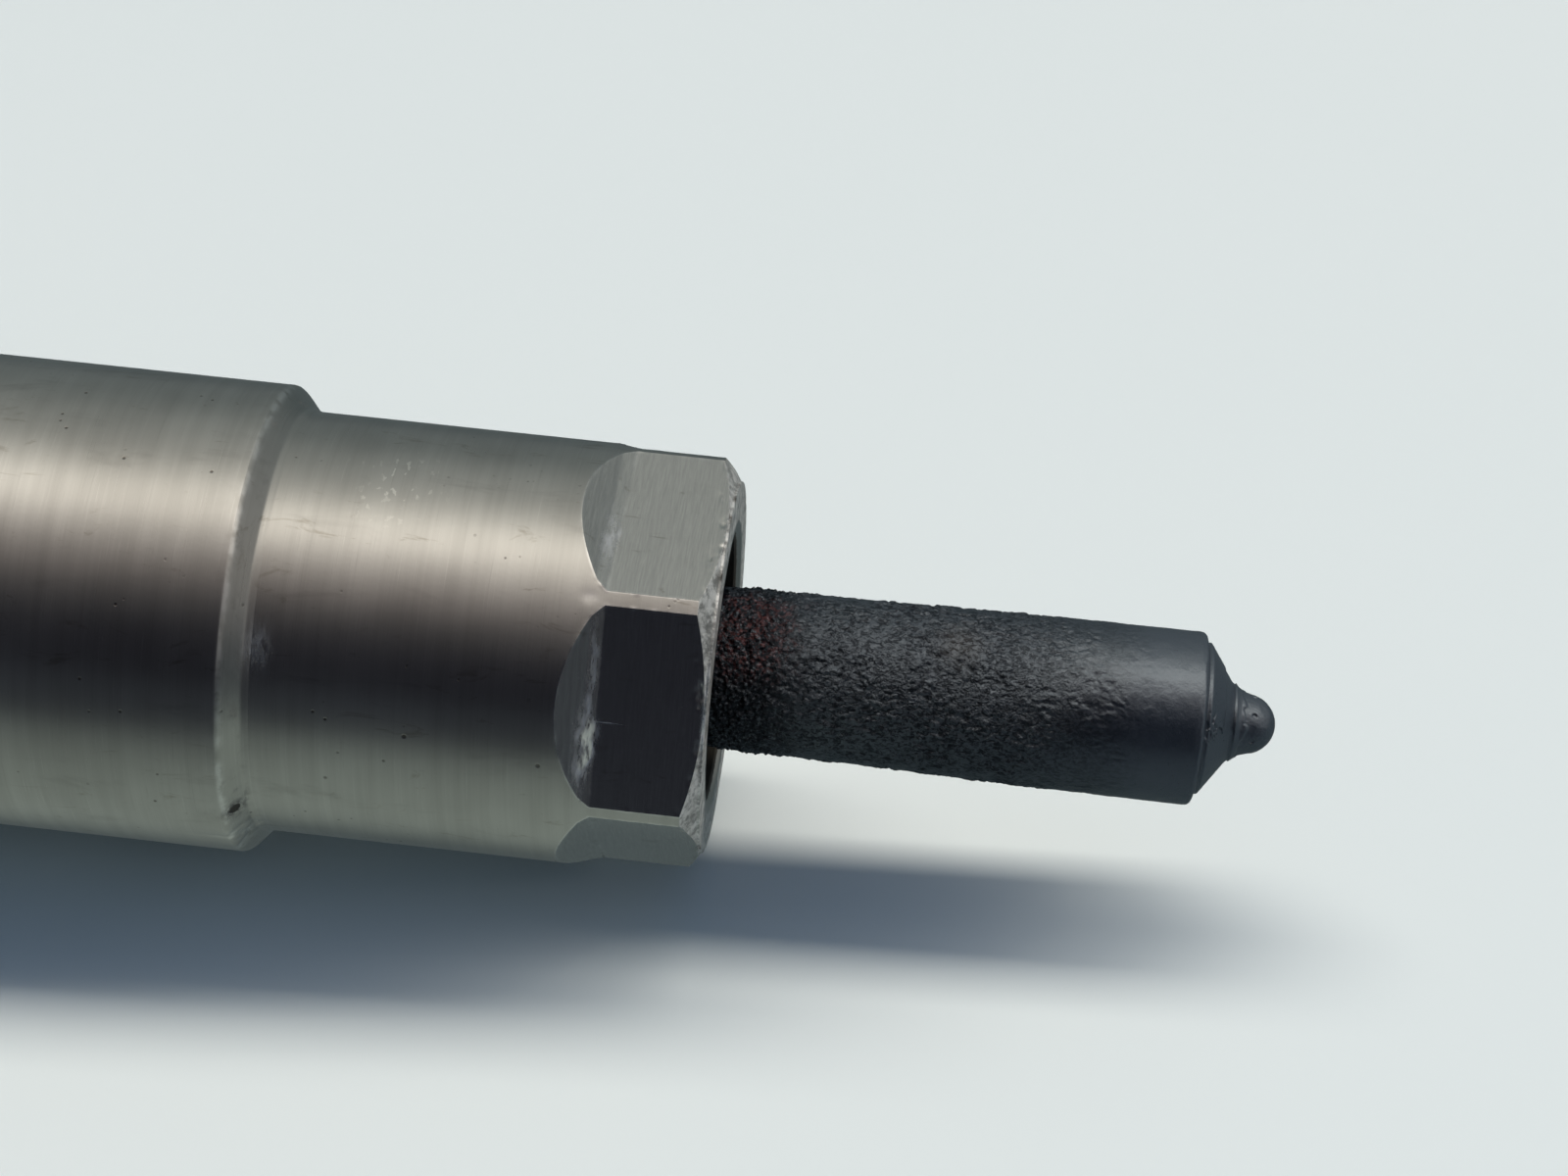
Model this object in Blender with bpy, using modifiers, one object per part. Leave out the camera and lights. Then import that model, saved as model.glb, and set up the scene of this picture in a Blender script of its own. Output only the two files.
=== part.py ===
"""A common-rail diesel fuel injector, lying on its side, built as the pieces that it comes apart into.

Every piece is modelled on the injector's own axis: local +Z runs towards the nozzle tip, local +Y is up
and local -X is the near side.  Stations along the axis are in millimetres from the nozzle nut's front face,
positive towards the tip.  One empty, injector_axis, lays the whole injector along world +X on z = 0.

A direction round the axis is a clock angle: 0 degrees is the near side, 90 degrees is up.
"""

import math

import bmesh
import bpy
from mathutils import Matrix, Vector

MM = 0.001
FULL_TURN = 2 * math.pi

# ---------------------------------------------------------------- driving dimensions, mm and degrees

# nozzle nut, from its front face (station 0) backwards
NUT_SHOULDER_R = 9.5
NUT_NECK_R = 8.5
NUT_MOUTH_R = 5.4
NUT_NECK_END = -17.45
NUT_SHOULDER_START = -18.3
NUT_REAR = -46.5
NUT_COLLAR_BORE_R = 7.3
NUT_THREAD_R = 8.0
NUT_RELIEF_R = 8.3
NUT_SEAT = -8.0
SPANNER_FLAT = 15.0
SPANNER_FLAT_LENGTH = 4.15
SPANNER_RAMP_LENGTH = 1.5
SPANNER_CORNER_CLOCK = 49.3

# nozzle body and needle
SHANK_END_R = 3.48
SHANK_ROOT_R = 3.28
SHANK_SHOULDER = 18.75
DOME_R = 1.2
DOME_CENTRE = 20.95
COLLAR_R = 7.15
COLLAR_FRONT = -8.1
COLLAR_REAR = -24.0
GUIDE_R = 2.0
GALLERY_R = 2.9
NOZZLE_BORE_R = 2.05
SAC_R = 0.5
SEAT_START = 20.4
SEAT_HALF_ANGLE = 30.0
SPRAY_HOLES = 7
SPRAY_HOLE_R = 0.09
SPRAY_ANGLE = 72.0
NEEDLE_STEM_R = 1.55
NEEDLE_LIFT = 0.25

# spacer plate, dowels and the high-pressure drilling that runs through everything
PLATE_FRONT = -24.1
PLATE_REAR = -28.0
DOWEL_R = 0.75
DOWEL_RADIUS = 5.9
DOWEL_CLOCKS = (-30.0, 210.0)
FUEL_CLOCK = 90.0
FUEL_R = 0.7
FUEL_RADIUS = 6.1
FUEL_RADIUS_AT_NOZZLE = 4.6

# injector body
BODY_FRONT = -28.1
SPIGOT_R = 7.8
SHAFT_R = 9.5
SHAFT_START = -48.3
SPRING_CHAMBER_R = 4.3
SPRING_CHAMBER_END = -56.0
PISTON_BORE_R = 2.6
PISTON_BORE_END = -93.0
VALVE_CHAMBER_R = 4.5
SEAL_GROOVE_R = 8.2
SEAL_GROOVE_FRONT = -85.6
SEAL_GROOVE_REAR = -89.0
HEAD_FRONT = -95.5
HEAD_R = 13.0
HEAD_REAR = -124.0
CLAMP_FLAT = 22.0
CLAMP_FRONT = -109.0
CLAMP_REAR = -117.5
CAVITY_R = 8.7
CAVITY_FRONT = -116.0
REAR_SPIGOT_R = 11.3
REAR_SPIGOT_END = -134.0

# high-pressure inlet on the head
INLET_CLOCK = FUEL_CLOCK
INLET_STATION = -103.5
INLET_LEAN = 30.0
INLET_BOSS_R = 7.6
INLET_BOSS_END = 21.5
INLET_THREAD_R = 4.9
INLET_SOCKET_DEPTH = 7.0

# solenoid valve
SLEEVE_R = 10.8
SLEEVE_FRONT = -135.2
SLEEVE_REAR = -156.0
SOLENOID_NUT_FLAT = 27.0
SOLENOID_NUT_FRONT = -124.8
SOLENOID_NUT_REAR = -140.5
VALVE_FRONT = -97.0
VALVE_SEAT = -120.5
CROWN_R = 2.1
ARMATURE_GUIDE_FRONT = -124.0
ARMATURE_PLATE_FRONT = -133.6
ARMATURE_PLATE_REAR = -135.0
CLIP_GROOVE_FRONT = -135.05
CLIP_GROOVE_REAR = -135.55
PIN_R = 1.3
MAGNET_REAR = -149.2

# plastic connector and return line
CONNECTOR_CLOCK = 90.0
CONNECTOR_STATION = -162.5
CONNECTOR_WIDTH = 15.0
CONNECTOR_DEPTH = 11.0
CONNECTOR_REACH = 31.0
SOCKET_WALL = 1.6
SOCKET_FLOOR = 17.0
HOUSING_REAR = -168.5
TERMINAL_TIP = 25.0
TERMINAL_R = 0.55
TERMINAL_SPACING = 4.4
TERMINAL_RADIUS = 6.2
NIPPLE_REAR = -181.0

# smoothness
NUT_SIDES = 42
OUTER_SIDES = 30
NOZZLE_SIDES = 28
SIDES = 18
SMALL_SIDES = 12
GAP = 0.1
OVERRUN = 2.0

# ---------------------------------------------------------------- scene, materials and placing

for stale in list(bpy.data.objects):
    bpy.data.objects.remove(stale, do_unlink=True)

PARTS = bpy.data.collections.new("diesel_injector")
CUTTERS = bpy.data.collections.new("cutters")
bpy.context.scene.collection.children.link(PARTS)
bpy.context.scene.collection.children.link(CUTTERS)

AXIS = bpy.data.objects.new("injector_axis", None)
AXIS.rotation_euler = (math.radians(90), 0, math.radians(90))
AXIS.location = (0, 0, SOLENOID_NUT_FLAT / 2 * MM)
PARTS.objects.link(AXIS)


def material(name, colour, roughness, metallic):
    made = bpy.data.materials.new(name)
    made.use_nodes = True
    shader = made.node_tree.nodes["Principled BSDF"]
    shader.inputs["Base Color"].default_value = (*colour, 1)
    shader.inputs["Roughness"].default_value = roughness
    shader.inputs["Metallic"].default_value = metallic
    return made


STEEL = material("turned_steel", (0.56, 0.54, 0.50), 0.34, 1.0)
CRUSTED = material("carbon_crusted_steel", (0.03, 0.03, 0.04), 0.62, 0.2)
GROUND = material("ground_steel", (0.62, 0.62, 0.62), 0.18, 1.0)
SPRING_STEEL = material("spring_steel", (0.30, 0.30, 0.32), 0.35, 1.0)
FORGED = material("plated_forging", (0.50, 0.50, 0.47), 0.42, 1.0)
IRON = material("soft_iron", (0.28, 0.28, 0.30), 0.45, 1.0)
COPPER = material("enamelled_copper", (0.70, 0.30, 0.12), 0.35, 1.0)
TINNED = material("tinned_brass", (0.78, 0.74, 0.66), 0.28, 1.0)
RUBBER = material("green_rubber", (0.02, 0.05, 0.04), 0.65, 0.0)
PLASTIC = material("black_plastic", (0.015, 0.015, 0.017), 0.5, 0.0)
BOBBIN_PLASTIC = material("bobbin_plastic", (0.35, 0.30, 0.22), 0.5, 0.0)


def around(clock):
    """The unit vector across the axis at a clock angle."""
    turn = math.radians(clock)
    return Vector((-math.cos(turn), math.sin(turn), 0))


def put(thing, collection=PARTS, finish=None):
    """Link an object, hang it on the injector's axis and give it its finish."""
    for home in list(thing.users_collection):
        home.objects.unlink(thing)
    collection.objects.link(thing)
    thing.parent = AXIS
    if collection is CUTTERS:
        thing.hide_render = True
        thing.display_type = "WIRE"
    if finish:
        thing.data.materials.clear()
        thing.data.materials.append(finish)
    return thing


def face_smoothly(thing, angle=32):
    """Shade round pieces smooth, with sharp edges where the surface really turns."""
    thing.data.shade_smooth()
    thing.data.set_sharp_from_angle(angle=math.radians(angle))


def from_bmesh(name, mesh_edit, collection=PARTS, finish=None):
    mesh = bpy.data.meshes.new(name)
    mesh_edit.to_mesh(mesh)
    mesh_edit.free()
    return put(bpy.data.objects.new(name, mesh), collection, finish)


# ---------------------------------------------------------------- shape tools


def arc(centre_r, centre_z, radius, first, last, steps):
    """Points (r, z) along an arc of a profile.  0 degrees points outwards, 90 degrees towards the tip."""
    for step in range(steps + 1):
        angle = math.radians(first + (last - first) * step / steps)
        yield centre_r + radius * math.cos(angle), centre_z + radius * math.sin(angle)


def turned(name, profile, finish=None, sides=SIDES, closed=True, collection=PARTS):
    """A piece turned on the axis.  The profile runs down its outer side from the tip end, then up inside."""
    edit = bmesh.new()
    points = [edit.verts.new((r * MM, 0, z * MM)) for r, z in profile]
    for first, second in zip(points, points[1:]):
        edit.edges.new((first, second))
    if closed:
        edit.edges.new((points[-1], points[0]))
    piece = from_bmesh(name, edit, collection, finish)
    screw = piece.modifiers.new("turn", "SCREW")
    screw.axis = "Z"
    screw.angle = FULL_TURN
    screw.steps = sides
    screw.render_steps = sides
    screw.use_merge_vertices = True
    screw.merge_threshold = 0.000001
    screw.use_smooth_shade = False
    return piece


def ring(name, inner, outer, front, rear, finish=None, sides=SIDES, bevel=0.0):
    """A plain ring or bush between two stations, with its outer corners broken by a small bevel."""
    profile = [
        (inner, front),
        (outer - bevel, front),
        (outer, front - bevel),
        (outer, rear + bevel),
        (outer - bevel, rear),
        (inner, rear),
    ]
    if not bevel:
        profile = [(inner, front), (outer, front), (outer, rear), (inner, rear)]
    return turned(name, profile, finish, sides)


def drill(name, start, end, radius, sides=SMALL_SIDES, collection=CUTTERS):
    """A straight cylinder between two points in millimetres."""
    start, end = Vector(start), Vector(end)
    run = end - start
    edit = bmesh.new()
    bmesh.ops.create_cone(
        edit, cap_ends=True, segments=sides, radius1=radius * MM, radius2=radius * MM, depth=run.length * MM
    )
    stand = run.to_track_quat("Z", "Y").to_matrix().to_4x4()
    middle = Matrix.Translation((start + end) / 2 * MM)
    bmesh.ops.transform(edit, matrix=middle @ stand, verts=edit.verts)
    return from_bmesh(name, edit, collection)


def block(name, centre, size, clock=0.0, collection=CUTTERS):
    """A box: size is (outwards, sideways, along the axis), centre is (outwards, sideways, station)."""
    edit = bmesh.new()
    bmesh.ops.create_cube(edit, size=1)
    bmesh.ops.scale(edit, vec=Vector(size) * MM, verts=edit.verts)
    bmesh.ops.translate(edit, vec=Vector(centre) * MM, verts=edit.verts)
    bmesh.ops.rotate(edit, matrix=Matrix.Rotation(math.radians(180 - clock), 3, "Z"), verts=edit.verts)
    return from_bmesh(name, edit, collection)


def joined(name, pieces, collection=CUTTERS):
    """One mesh from several pieces that don't touch each other."""
    edit = bmesh.new()
    for piece in pieces:
        edit.from_mesh(piece.data)
        bpy.data.objects.remove(piece, do_unlink=True)
    return from_bmesh(name, edit, collection)


def wire(name, points, radius, finish=None, collection=PARTS):
    """A round wire through points in millimetres, as a curve with filled caps."""
    curve = bpy.data.curves.new(name, "CURVE")
    curve.dimensions = "3D"
    curve.bevel_depth = radius * MM
    curve.bevel_resolution = 2
    curve.use_fill_caps = True
    spline = curve.splines.new("POLY")
    spline.points.add(len(points) - 1)
    for spot, point in zip(spline.points, points):
        spot.co = (*(Vector(point) * MM), 1)
    return put(bpy.data.objects.new(name, curve), collection, finish)


def wire_cutter(name, points, radius):
    """The same wire as a closed mesh, for a channel."""
    curve = wire(name + "_route", points, radius, collection=CUTTERS)
    bpy.context.view_layer.update()
    evaluated = curve.evaluated_get(bpy.context.evaluated_depsgraph_get())
    edit = bmesh.new()
    edit.from_mesh(bpy.data.meshes.new_from_object(evaluated))
    bmesh.ops.remove_doubles(edit, verts=edit.verts, dist=0.000001)
    bpy.data.objects.remove(curve, do_unlink=True)
    return from_bmesh(name, edit, CUTTERS)


def combine(piece, tool, operation="DIFFERENCE"):
    change = piece.modifiers.new(tool.name, "BOOLEAN")
    change.operation = operation
    change.object = tool
    change.solver = "EXACT"
    return piece


def coil_spring(name, mean_r, wire_r, front, rear, turns, finish=SPRING_STEEL, points_per_turn=9):
    """A compression spring whose end turns lie nearly flat."""
    rise = front - rear - 2 * wire_r
    count = int(turns * points_per_turn)
    route = []
    for step in range(count + 1):
        share = step / count
        along = share - math.sin(FULL_TURN * share) / (FULL_TURN * 1.35)
        turn = FULL_TURN * turns * share
        station = rear + wire_r + rise * along
        route.append((mean_r * math.cos(turn), mean_r * math.sin(turn), station))
    return wire(name, route, wire_r, finish)


# ---------------------------------------------------------------- nozzle end


def spanner_flats():
    """The six milled flats of the nozzle nut as one cutter: each runs out of the neck up a short ramp."""
    depth = SPANNER_FLAT / 2
    ramp_foot = -SPANNER_FLAT_LENGTH
    ramp_top = ramp_foot - SPANNER_RAMP_LENGTH
    blend, blend_rise = 0.45, 0.2
    half_width, run_out = 4.3, 2.4
    outline = [
        (depth, OVERRUN),
        (depth, ramp_foot),
        (depth + blend_rise, ramp_foot - blend),
        (NUT_NECK_R, ramp_top),
        (NUT_NECK_R + OVERRUN, ramp_top - run_out),
        (NUT_NECK_R + OVERRUN, OVERRUN),
    ]
    cutters = []
    for flat in range(6):
        clock = SPANNER_CORNER_CLOCK + 30 + 60 * flat
        curve = bpy.data.curves.new("flat_outline", "CURVE")
        curve.dimensions = "2D"
        curve.fill_mode = "BOTH"
        curve.extrude = half_width * MM
        spline = curve.splines.new("POLY")
        spline.points.add(len(outline) - 1)
        for spot, (out, station) in zip(spline.points, outline):
            spot.co = (out * MM, station * MM, 0, 1)
        spline.use_cyclic_u = True
        shape = bpy.data.objects.new("flat_outline", curve)
        CUTTERS.objects.link(shape)
        bpy.context.view_layer.update()
        evaluated = shape.evaluated_get(bpy.context.evaluated_depsgraph_get())
        edit = bmesh.new()
        edit.from_mesh(bpy.data.meshes.new_from_object(evaluated))
        bmesh.ops.remove_doubles(edit, verts=edit.verts, dist=0.000001)
        bpy.data.objects.remove(shape, do_unlink=True)
        stand = Matrix.Rotation(math.radians(90), 3, "X")
        bmesh.ops.rotate(edit, matrix=stand, verts=edit.verts)
        turn = Matrix.Rotation(math.radians(180 - clock), 3, "Z")
        bmesh.ops.rotate(edit, matrix=turn, verts=edit.verts)
        bmesh.ops.recalc_face_normals(edit, faces=edit.faces)
        cutters.append(from_bmesh(f"spanner_flat_{flat}", edit, CUTTERS))
    return joined("spanner_flats", cutters)


def nozzle_nut():
    face_r = SPANNER_FLAT / 2
    chamfer = (NUT_NECK_R - face_r) * math.tan(math.radians(30))
    profile = [
        (NUT_MOUTH_R + 0.25, 0),
        (face_r, 0),
        (face_r, -0.1),
        (NUT_NECK_R, -0.1 - chamfer),
        (NUT_NECK_R, NUT_NECK_END + 0.15),
        (NUT_NECK_R + 0.06, NUT_NECK_END),
        (NUT_SHOULDER_R - 0.1, NUT_SHOULDER_START + 0.05),
        (NUT_SHOULDER_R, NUT_SHOULDER_START - 0.1),
        (NUT_SHOULDER_R, NUT_REAR + 0.6),
        (NUT_SHOULDER_R - 0.6, NUT_REAR),
        (NUT_THREAD_R + 0.4, NUT_REAR),
        (NUT_THREAD_R, NUT_REAR + 0.4),
        (NUT_THREAD_R, PLATE_REAR - 1.2),
        (NUT_RELIEF_R, PLATE_REAR - 0.9),
        (NUT_RELIEF_R, COLLAR_REAR - 1.2),
        (NUT_COLLAR_BORE_R, COLLAR_REAR - 0.2),
        (NUT_COLLAR_BORE_R, NUT_SEAT),
        (NUT_MOUTH_R, NUT_SEAT),
        (NUT_MOUTH_R, -0.25),
    ]
    nut = turned("nozzle_nut", profile, STEEL, sides=NUT_SIDES)
    return combine(nut, spanner_flats())


def nozzle_body():
    seat_run = (NOZZLE_BORE_R - SAC_R) / math.tan(math.radians(SEAT_HALF_ANGLE))
    guide_end = -17.5
    gallery_end = -12.5
    outside = [
        *arc(0, DOME_CENTRE, DOME_R, 90, 8, 5),
        (DOME_R + 0.12, DOME_CENTRE - 0.3),
        (DOME_R + 0.42, DOME_CENTRE - 0.68),
        (3.08, 19.2),
        *arc(SHANK_END_R - 0.5, SHANK_SHOULDER, 0.5, 50, 0, 2),
        (SHANK_END_R - 0.03, 12.0),
        (SHANK_ROOT_R, 5.0),
        (SHANK_ROOT_R, COLLAR_FRONT + 0.8),
        (SHANK_ROOT_R + 0.6, COLLAR_FRONT),
        (COLLAR_R - 0.2, COLLAR_FRONT),
        (COLLAR_R, COLLAR_FRONT - 0.2),
        (COLLAR_R, COLLAR_REAR),
    ]
    inside = [
        (GUIDE_R, COLLAR_REAR),
        (GUIDE_R, guide_end),
        (GALLERY_R, guide_end + 0.6),
        (GALLERY_R, gallery_end - 0.6),
        (NOZZLE_BORE_R, gallery_end),
        (NOZZLE_BORE_R, SEAT_START - seat_run),
        (SAC_R, SEAT_START),
        (SAC_R, DOME_CENTRE),
        *list(arc(0, DOME_CENTRE, SAC_R, 0, 90, 3))[1:],
    ]
    body = turned("nozzle_body", outside + inside, CRUSTED, sides=NOZZLE_SIDES, closed=False)
    fuel_start = around(FUEL_CLOCK) * FUEL_RADIUS_AT_NOZZLE + Vector((0, 0, COLLAR_REAR - 0.5))
    fuel_end = around(FUEL_CLOCK) * 2.5 + Vector((0, 0, gallery_end - 2.0))
    combine(body, drill("nozzle_fuel_way", fuel_start, fuel_end, FUEL_R, 12))
    for hole in range(2):
        spot = around(DOWEL_CLOCKS[hole]) * DOWEL_RADIUS
        start = spot + Vector((0, 0, COLLAR_REAR + 2.0))
        end = spot + Vector((0, 0, COLLAR_REAR - 1.0))
        combine(body, drill(f"nozzle_dowel_hole_{hole}", start, end, DOWEL_R + GAP, 16))
    lean = math.radians(SPRAY_ANGLE)
    inner_end, outer_end = 0.28, 1.8
    origin = Vector((0, 0, DOME_CENTRE - 0.12))
    jets = []
    for hole in range(SPRAY_HOLES):
        outwards = around(360 / SPRAY_HOLES * hole) * math.sin(lean) + Vector((0, 0, math.cos(lean)))
        start, end = origin + outwards * inner_end, origin + outwards * outer_end
        jets.append(drill(f"spray_hole_{hole}", start, end, SPRAY_HOLE_R, 6))
    return combine(body, joined("spray_holes", jets))


def nozzle_needle():
    clearance = 0.06
    slope = math.tan(math.radians(SEAT_HALF_ANGLE))
    tip_r, tail_r = 0.3, 1.3
    stem_end, guide_start, guide_end, tail_end = -13.5, -15.2, -23.6, -28.5
    cone_zero = SEAT_START - clearance + SAC_R / slope
    guide_r = GUIDE_R - 0.05
    lifted_stop = PLATE_FRONT + GAP + NEEDLE_LIFT
    profile = [
        (0, cone_zero - tip_r / slope),
        (tip_r, cone_zero - tip_r / slope),
        (NEEDLE_STEM_R, cone_zero - NEEDLE_STEM_R / slope),
        (NEEDLE_STEM_R, stem_end),
        (guide_r, guide_start),
        (guide_r, guide_end),
        (guide_r - 0.1, lifted_stop),
        (tail_r, lifted_stop),
        (tail_r, tail_end),
        (0, tail_end),
    ]
    return turned("nozzle_needle", profile, GROUND, sides=NOZZLE_SIDES, closed=False)


def spacer_plate():
    plate = ring("spacer_plate", 1.6, COLLAR_R, PLATE_FRONT, PLATE_REAR, GROUND, bevel=0.2)
    rise = PLATE_FRONT - PLATE_REAR
    slant = (FUEL_RADIUS - FUEL_RADIUS_AT_NOZZLE) / rise
    overrun = 0.4
    front_r = FUEL_RADIUS_AT_NOZZLE - slant * overrun
    rear_r = FUEL_RADIUS + slant * overrun
    start = around(FUEL_CLOCK) * front_r + Vector((0, 0, PLATE_FRONT + overrun))
    end = around(FUEL_CLOCK) * rear_r + Vector((0, 0, PLATE_REAR - overrun))
    combine(plate, drill("plate_fuel_way", start, end, FUEL_R, 12))
    for hole in range(2):
        spot = around(DOWEL_CLOCKS[hole]) * DOWEL_RADIUS
        start = spot + Vector((0, 0, PLATE_FRONT + 1.0))
        end = spot + Vector((0, 0, PLATE_REAR - 1.0))
        combine(plate, drill(f"plate_dowel_hole_{hole}", start, end, DOWEL_R + GAP, 16))
    return plate


def dowel_pins():
    for number in (1, 2):
        front, rear, nose = COLLAR_REAR + 1.8, BODY_FRONT - 1.8, 0.2
        profile = [
            (0, front),
            (DOWEL_R - nose, front),
            (DOWEL_R, front - nose),
            (DOWEL_R, rear + nose),
            (DOWEL_R - nose, rear),
            (0, rear),
        ]
        pin = turned(f"dowel_pin_{number}", profile, GROUND, sides=SMALL_SIDES, closed=False)
        pin.location = around(DOWEL_CLOCKS[number - 1]) * DOWEL_RADIUS * MM


def nozzle_spring_set():
    front, cup_rear, peg_rear = -28.6, -30.4, -31.6
    cup_r, peg_r, bevel = 3.9, 2.2, 0.3
    seat_profile = [
        (0, front),
        (cup_r - bevel, front),
        (cup_r, front - bevel),
        (cup_r, cup_rear),
        (peg_r, cup_rear),
        (peg_r - 0.2, peg_rear),
        (0, peg_rear),
    ]
    turned("spring_seat", seat_profile, GROUND, closed=False)
    coil_spring("nozzle_spring", mean_r=3.15, wire_r=0.6, front=-30.5, rear=-54.9, turns=7.5)
    ring("spring_shim", inner=2.1, outer=4.15, front=-55.0, rear=-55.9, finish=GROUND)


# ---------------------------------------------------------------- injector body


def inlet_point(distance):
    """A point on the inlet's own axis, which leans back from the head."""
    lean = math.radians(INLET_LEAN)
    outwards = around(INLET_CLOCK) * math.cos(lean) - Vector((0, 0, math.sin(lean)))
    return Vector((0, 0, INLET_STATION)) + outwards * distance


def injector_body():
    neck_r, neck_length = 9.9, 2.0
    seal_seat_r, seal_seat_depth = 5.9, 1.2
    outside = [
        (SPRING_CHAMBER_R, BODY_FRONT),
        (SPIGOT_R - 0.3, BODY_FRONT),
        (SPIGOT_R, BODY_FRONT - 0.5),
        (SPIGOT_R, NUT_REAR + 1.0),
        (SPIGOT_R - 0.5, NUT_REAR + 0.5),
        (SPIGOT_R - 0.5, SHAFT_START),
        (SHAFT_R - 0.4, SHAFT_START),
        (SHAFT_R, SHAFT_START - 0.4),
        (SHAFT_R, SEAL_GROOVE_FRONT),
        (SEAL_GROOVE_R, SEAL_GROOVE_FRONT),
        (SEAL_GROOVE_R, SEAL_GROOVE_REAR),
        (SHAFT_R, SEAL_GROOVE_REAR),
        (SHAFT_R, HEAD_FRONT + 2.0),
        (SHAFT_R + 0.4, HEAD_FRONT + 1.0),
        (HEAD_R - 0.5, HEAD_FRONT - 1.9),
        (HEAD_R, HEAD_FRONT - 2.5),
        (HEAD_R, HEAD_REAR + 0.6),
        (HEAD_R - 0.6, HEAD_REAR),
        (neck_r, HEAD_REAR),
        (neck_r, HEAD_REAR - neck_length),
        (REAR_SPIGOT_R, HEAD_REAR - neck_length),
        (REAR_SPIGOT_R, REAR_SPIGOT_END),
    ]
    inside = [
        (CAVITY_R, REAR_SPIGOT_END),
        (CAVITY_R, CAVITY_FRONT),
        (seal_seat_r, CAVITY_FRONT),
        (seal_seat_r, CAVITY_FRONT + seal_seat_depth),
        (VALVE_CHAMBER_R, CAVITY_FRONT + seal_seat_depth),
        (VALVE_CHAMBER_R, PISTON_BORE_END),
        (PISTON_BORE_R, PISTON_BORE_END + 0.8),
        (PISTON_BORE_R, SPRING_CHAMBER_END),
        (SPRING_CHAMBER_R, SPRING_CHAMBER_END),
    ]
    body = turned("injector_body", outside + inside, FORGED, sides=OUTER_SIDES)

    boss = drill("inlet_boss", inlet_point(11.0), inlet_point(INLET_BOSS_END), INLET_BOSS_R, 24)
    combine(body, boss, "UNION")
    inset = 0.05
    cavity_front, cavity_rear = (0, 0, CAVITY_FRONT - inset), (0, 0, REAR_SPIGOT_END + 1.0)
    combine(body, drill("boss_foot_trim", cavity_front, cavity_rear, CAVITY_R - inset, OUTER_SIDES))
    socket_foot = inlet_point(INLET_BOSS_END - INLET_SOCKET_DEPTH)
    socket_r = INLET_THREAD_R + 0.2
    combine(body, drill("inlet_socket", socket_foot, inlet_point(INLET_BOSS_END + 3.0), socket_r, 24))

    fuel_foot = around(FUEL_CLOCK) * FUEL_RADIUS + Vector((0, 0, BODY_FRONT + 1.0))
    fuel_top = inlet_point(FUEL_RADIUS / math.cos(math.radians(INLET_LEAN)))
    combine(body, drill("body_fuel_way", fuel_foot, fuel_top, FUEL_R, 12))
    way_r = 1.1
    way_foot, way_top = inlet_point(VALVE_CHAMBER_R - 0.6), inlet_point(INLET_BOSS_END - 6.0)
    combine(body, drill("inlet_fuel_way", way_foot, way_top, way_r, 12))

    cheeks = []
    depth = 6.0
    length = CLAMP_FRONT - CLAMP_REAR
    middle = (CLAMP_FRONT + CLAMP_REAR) / 2
    for side in (90, -90):
        centre = (CLAMP_FLAT / 2 + depth / 2, 0, middle)
        cheeks.append(block("clamp_cheek", centre, (depth, 3 * depth, length), INLET_CLOCK + side))
    combine(body, joined("clamp_flats", cheeks))

    for hole in range(2):
        spot = around(DOWEL_CLOCKS[hole]) * DOWEL_RADIUS
        start = spot + Vector((0, 0, BODY_FRONT + 1.0))
        end = spot + Vector((0, 0, BODY_FRONT - 2.0))
        combine(body, drill(f"body_dowel_hole_{hole}", start, end, DOWEL_R + GAP, 16))
    return body


def torus(name, major, minor, station, finish, sides=OUTER_SIDES):
    return turned(name, [*arc(major, station, minor, 90, -225, 7)], finish, sides)


def control_piston():
    front, rear = -31.7, -112.0
    rod_r, guide_r = 1.9, 2.45
    guide_front, guide_rear = -57.8, -95.8
    nose, taper = 0.3, 0.8
    profile = [
        (0, front),
        (rod_r - nose, front),
        (rod_r, front - nose),
        (rod_r, guide_front + taper),
        (guide_r, guide_front),
        (guide_r, guide_rear),
        (CROWN_R, guide_rear - 0.6),
        (CROWN_R, rear + 0.2),
        (CROWN_R - 0.2, rear),
        (0, rear),
    ]
    return turned("control_piston", profile, GROUND, closed=False)


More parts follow.
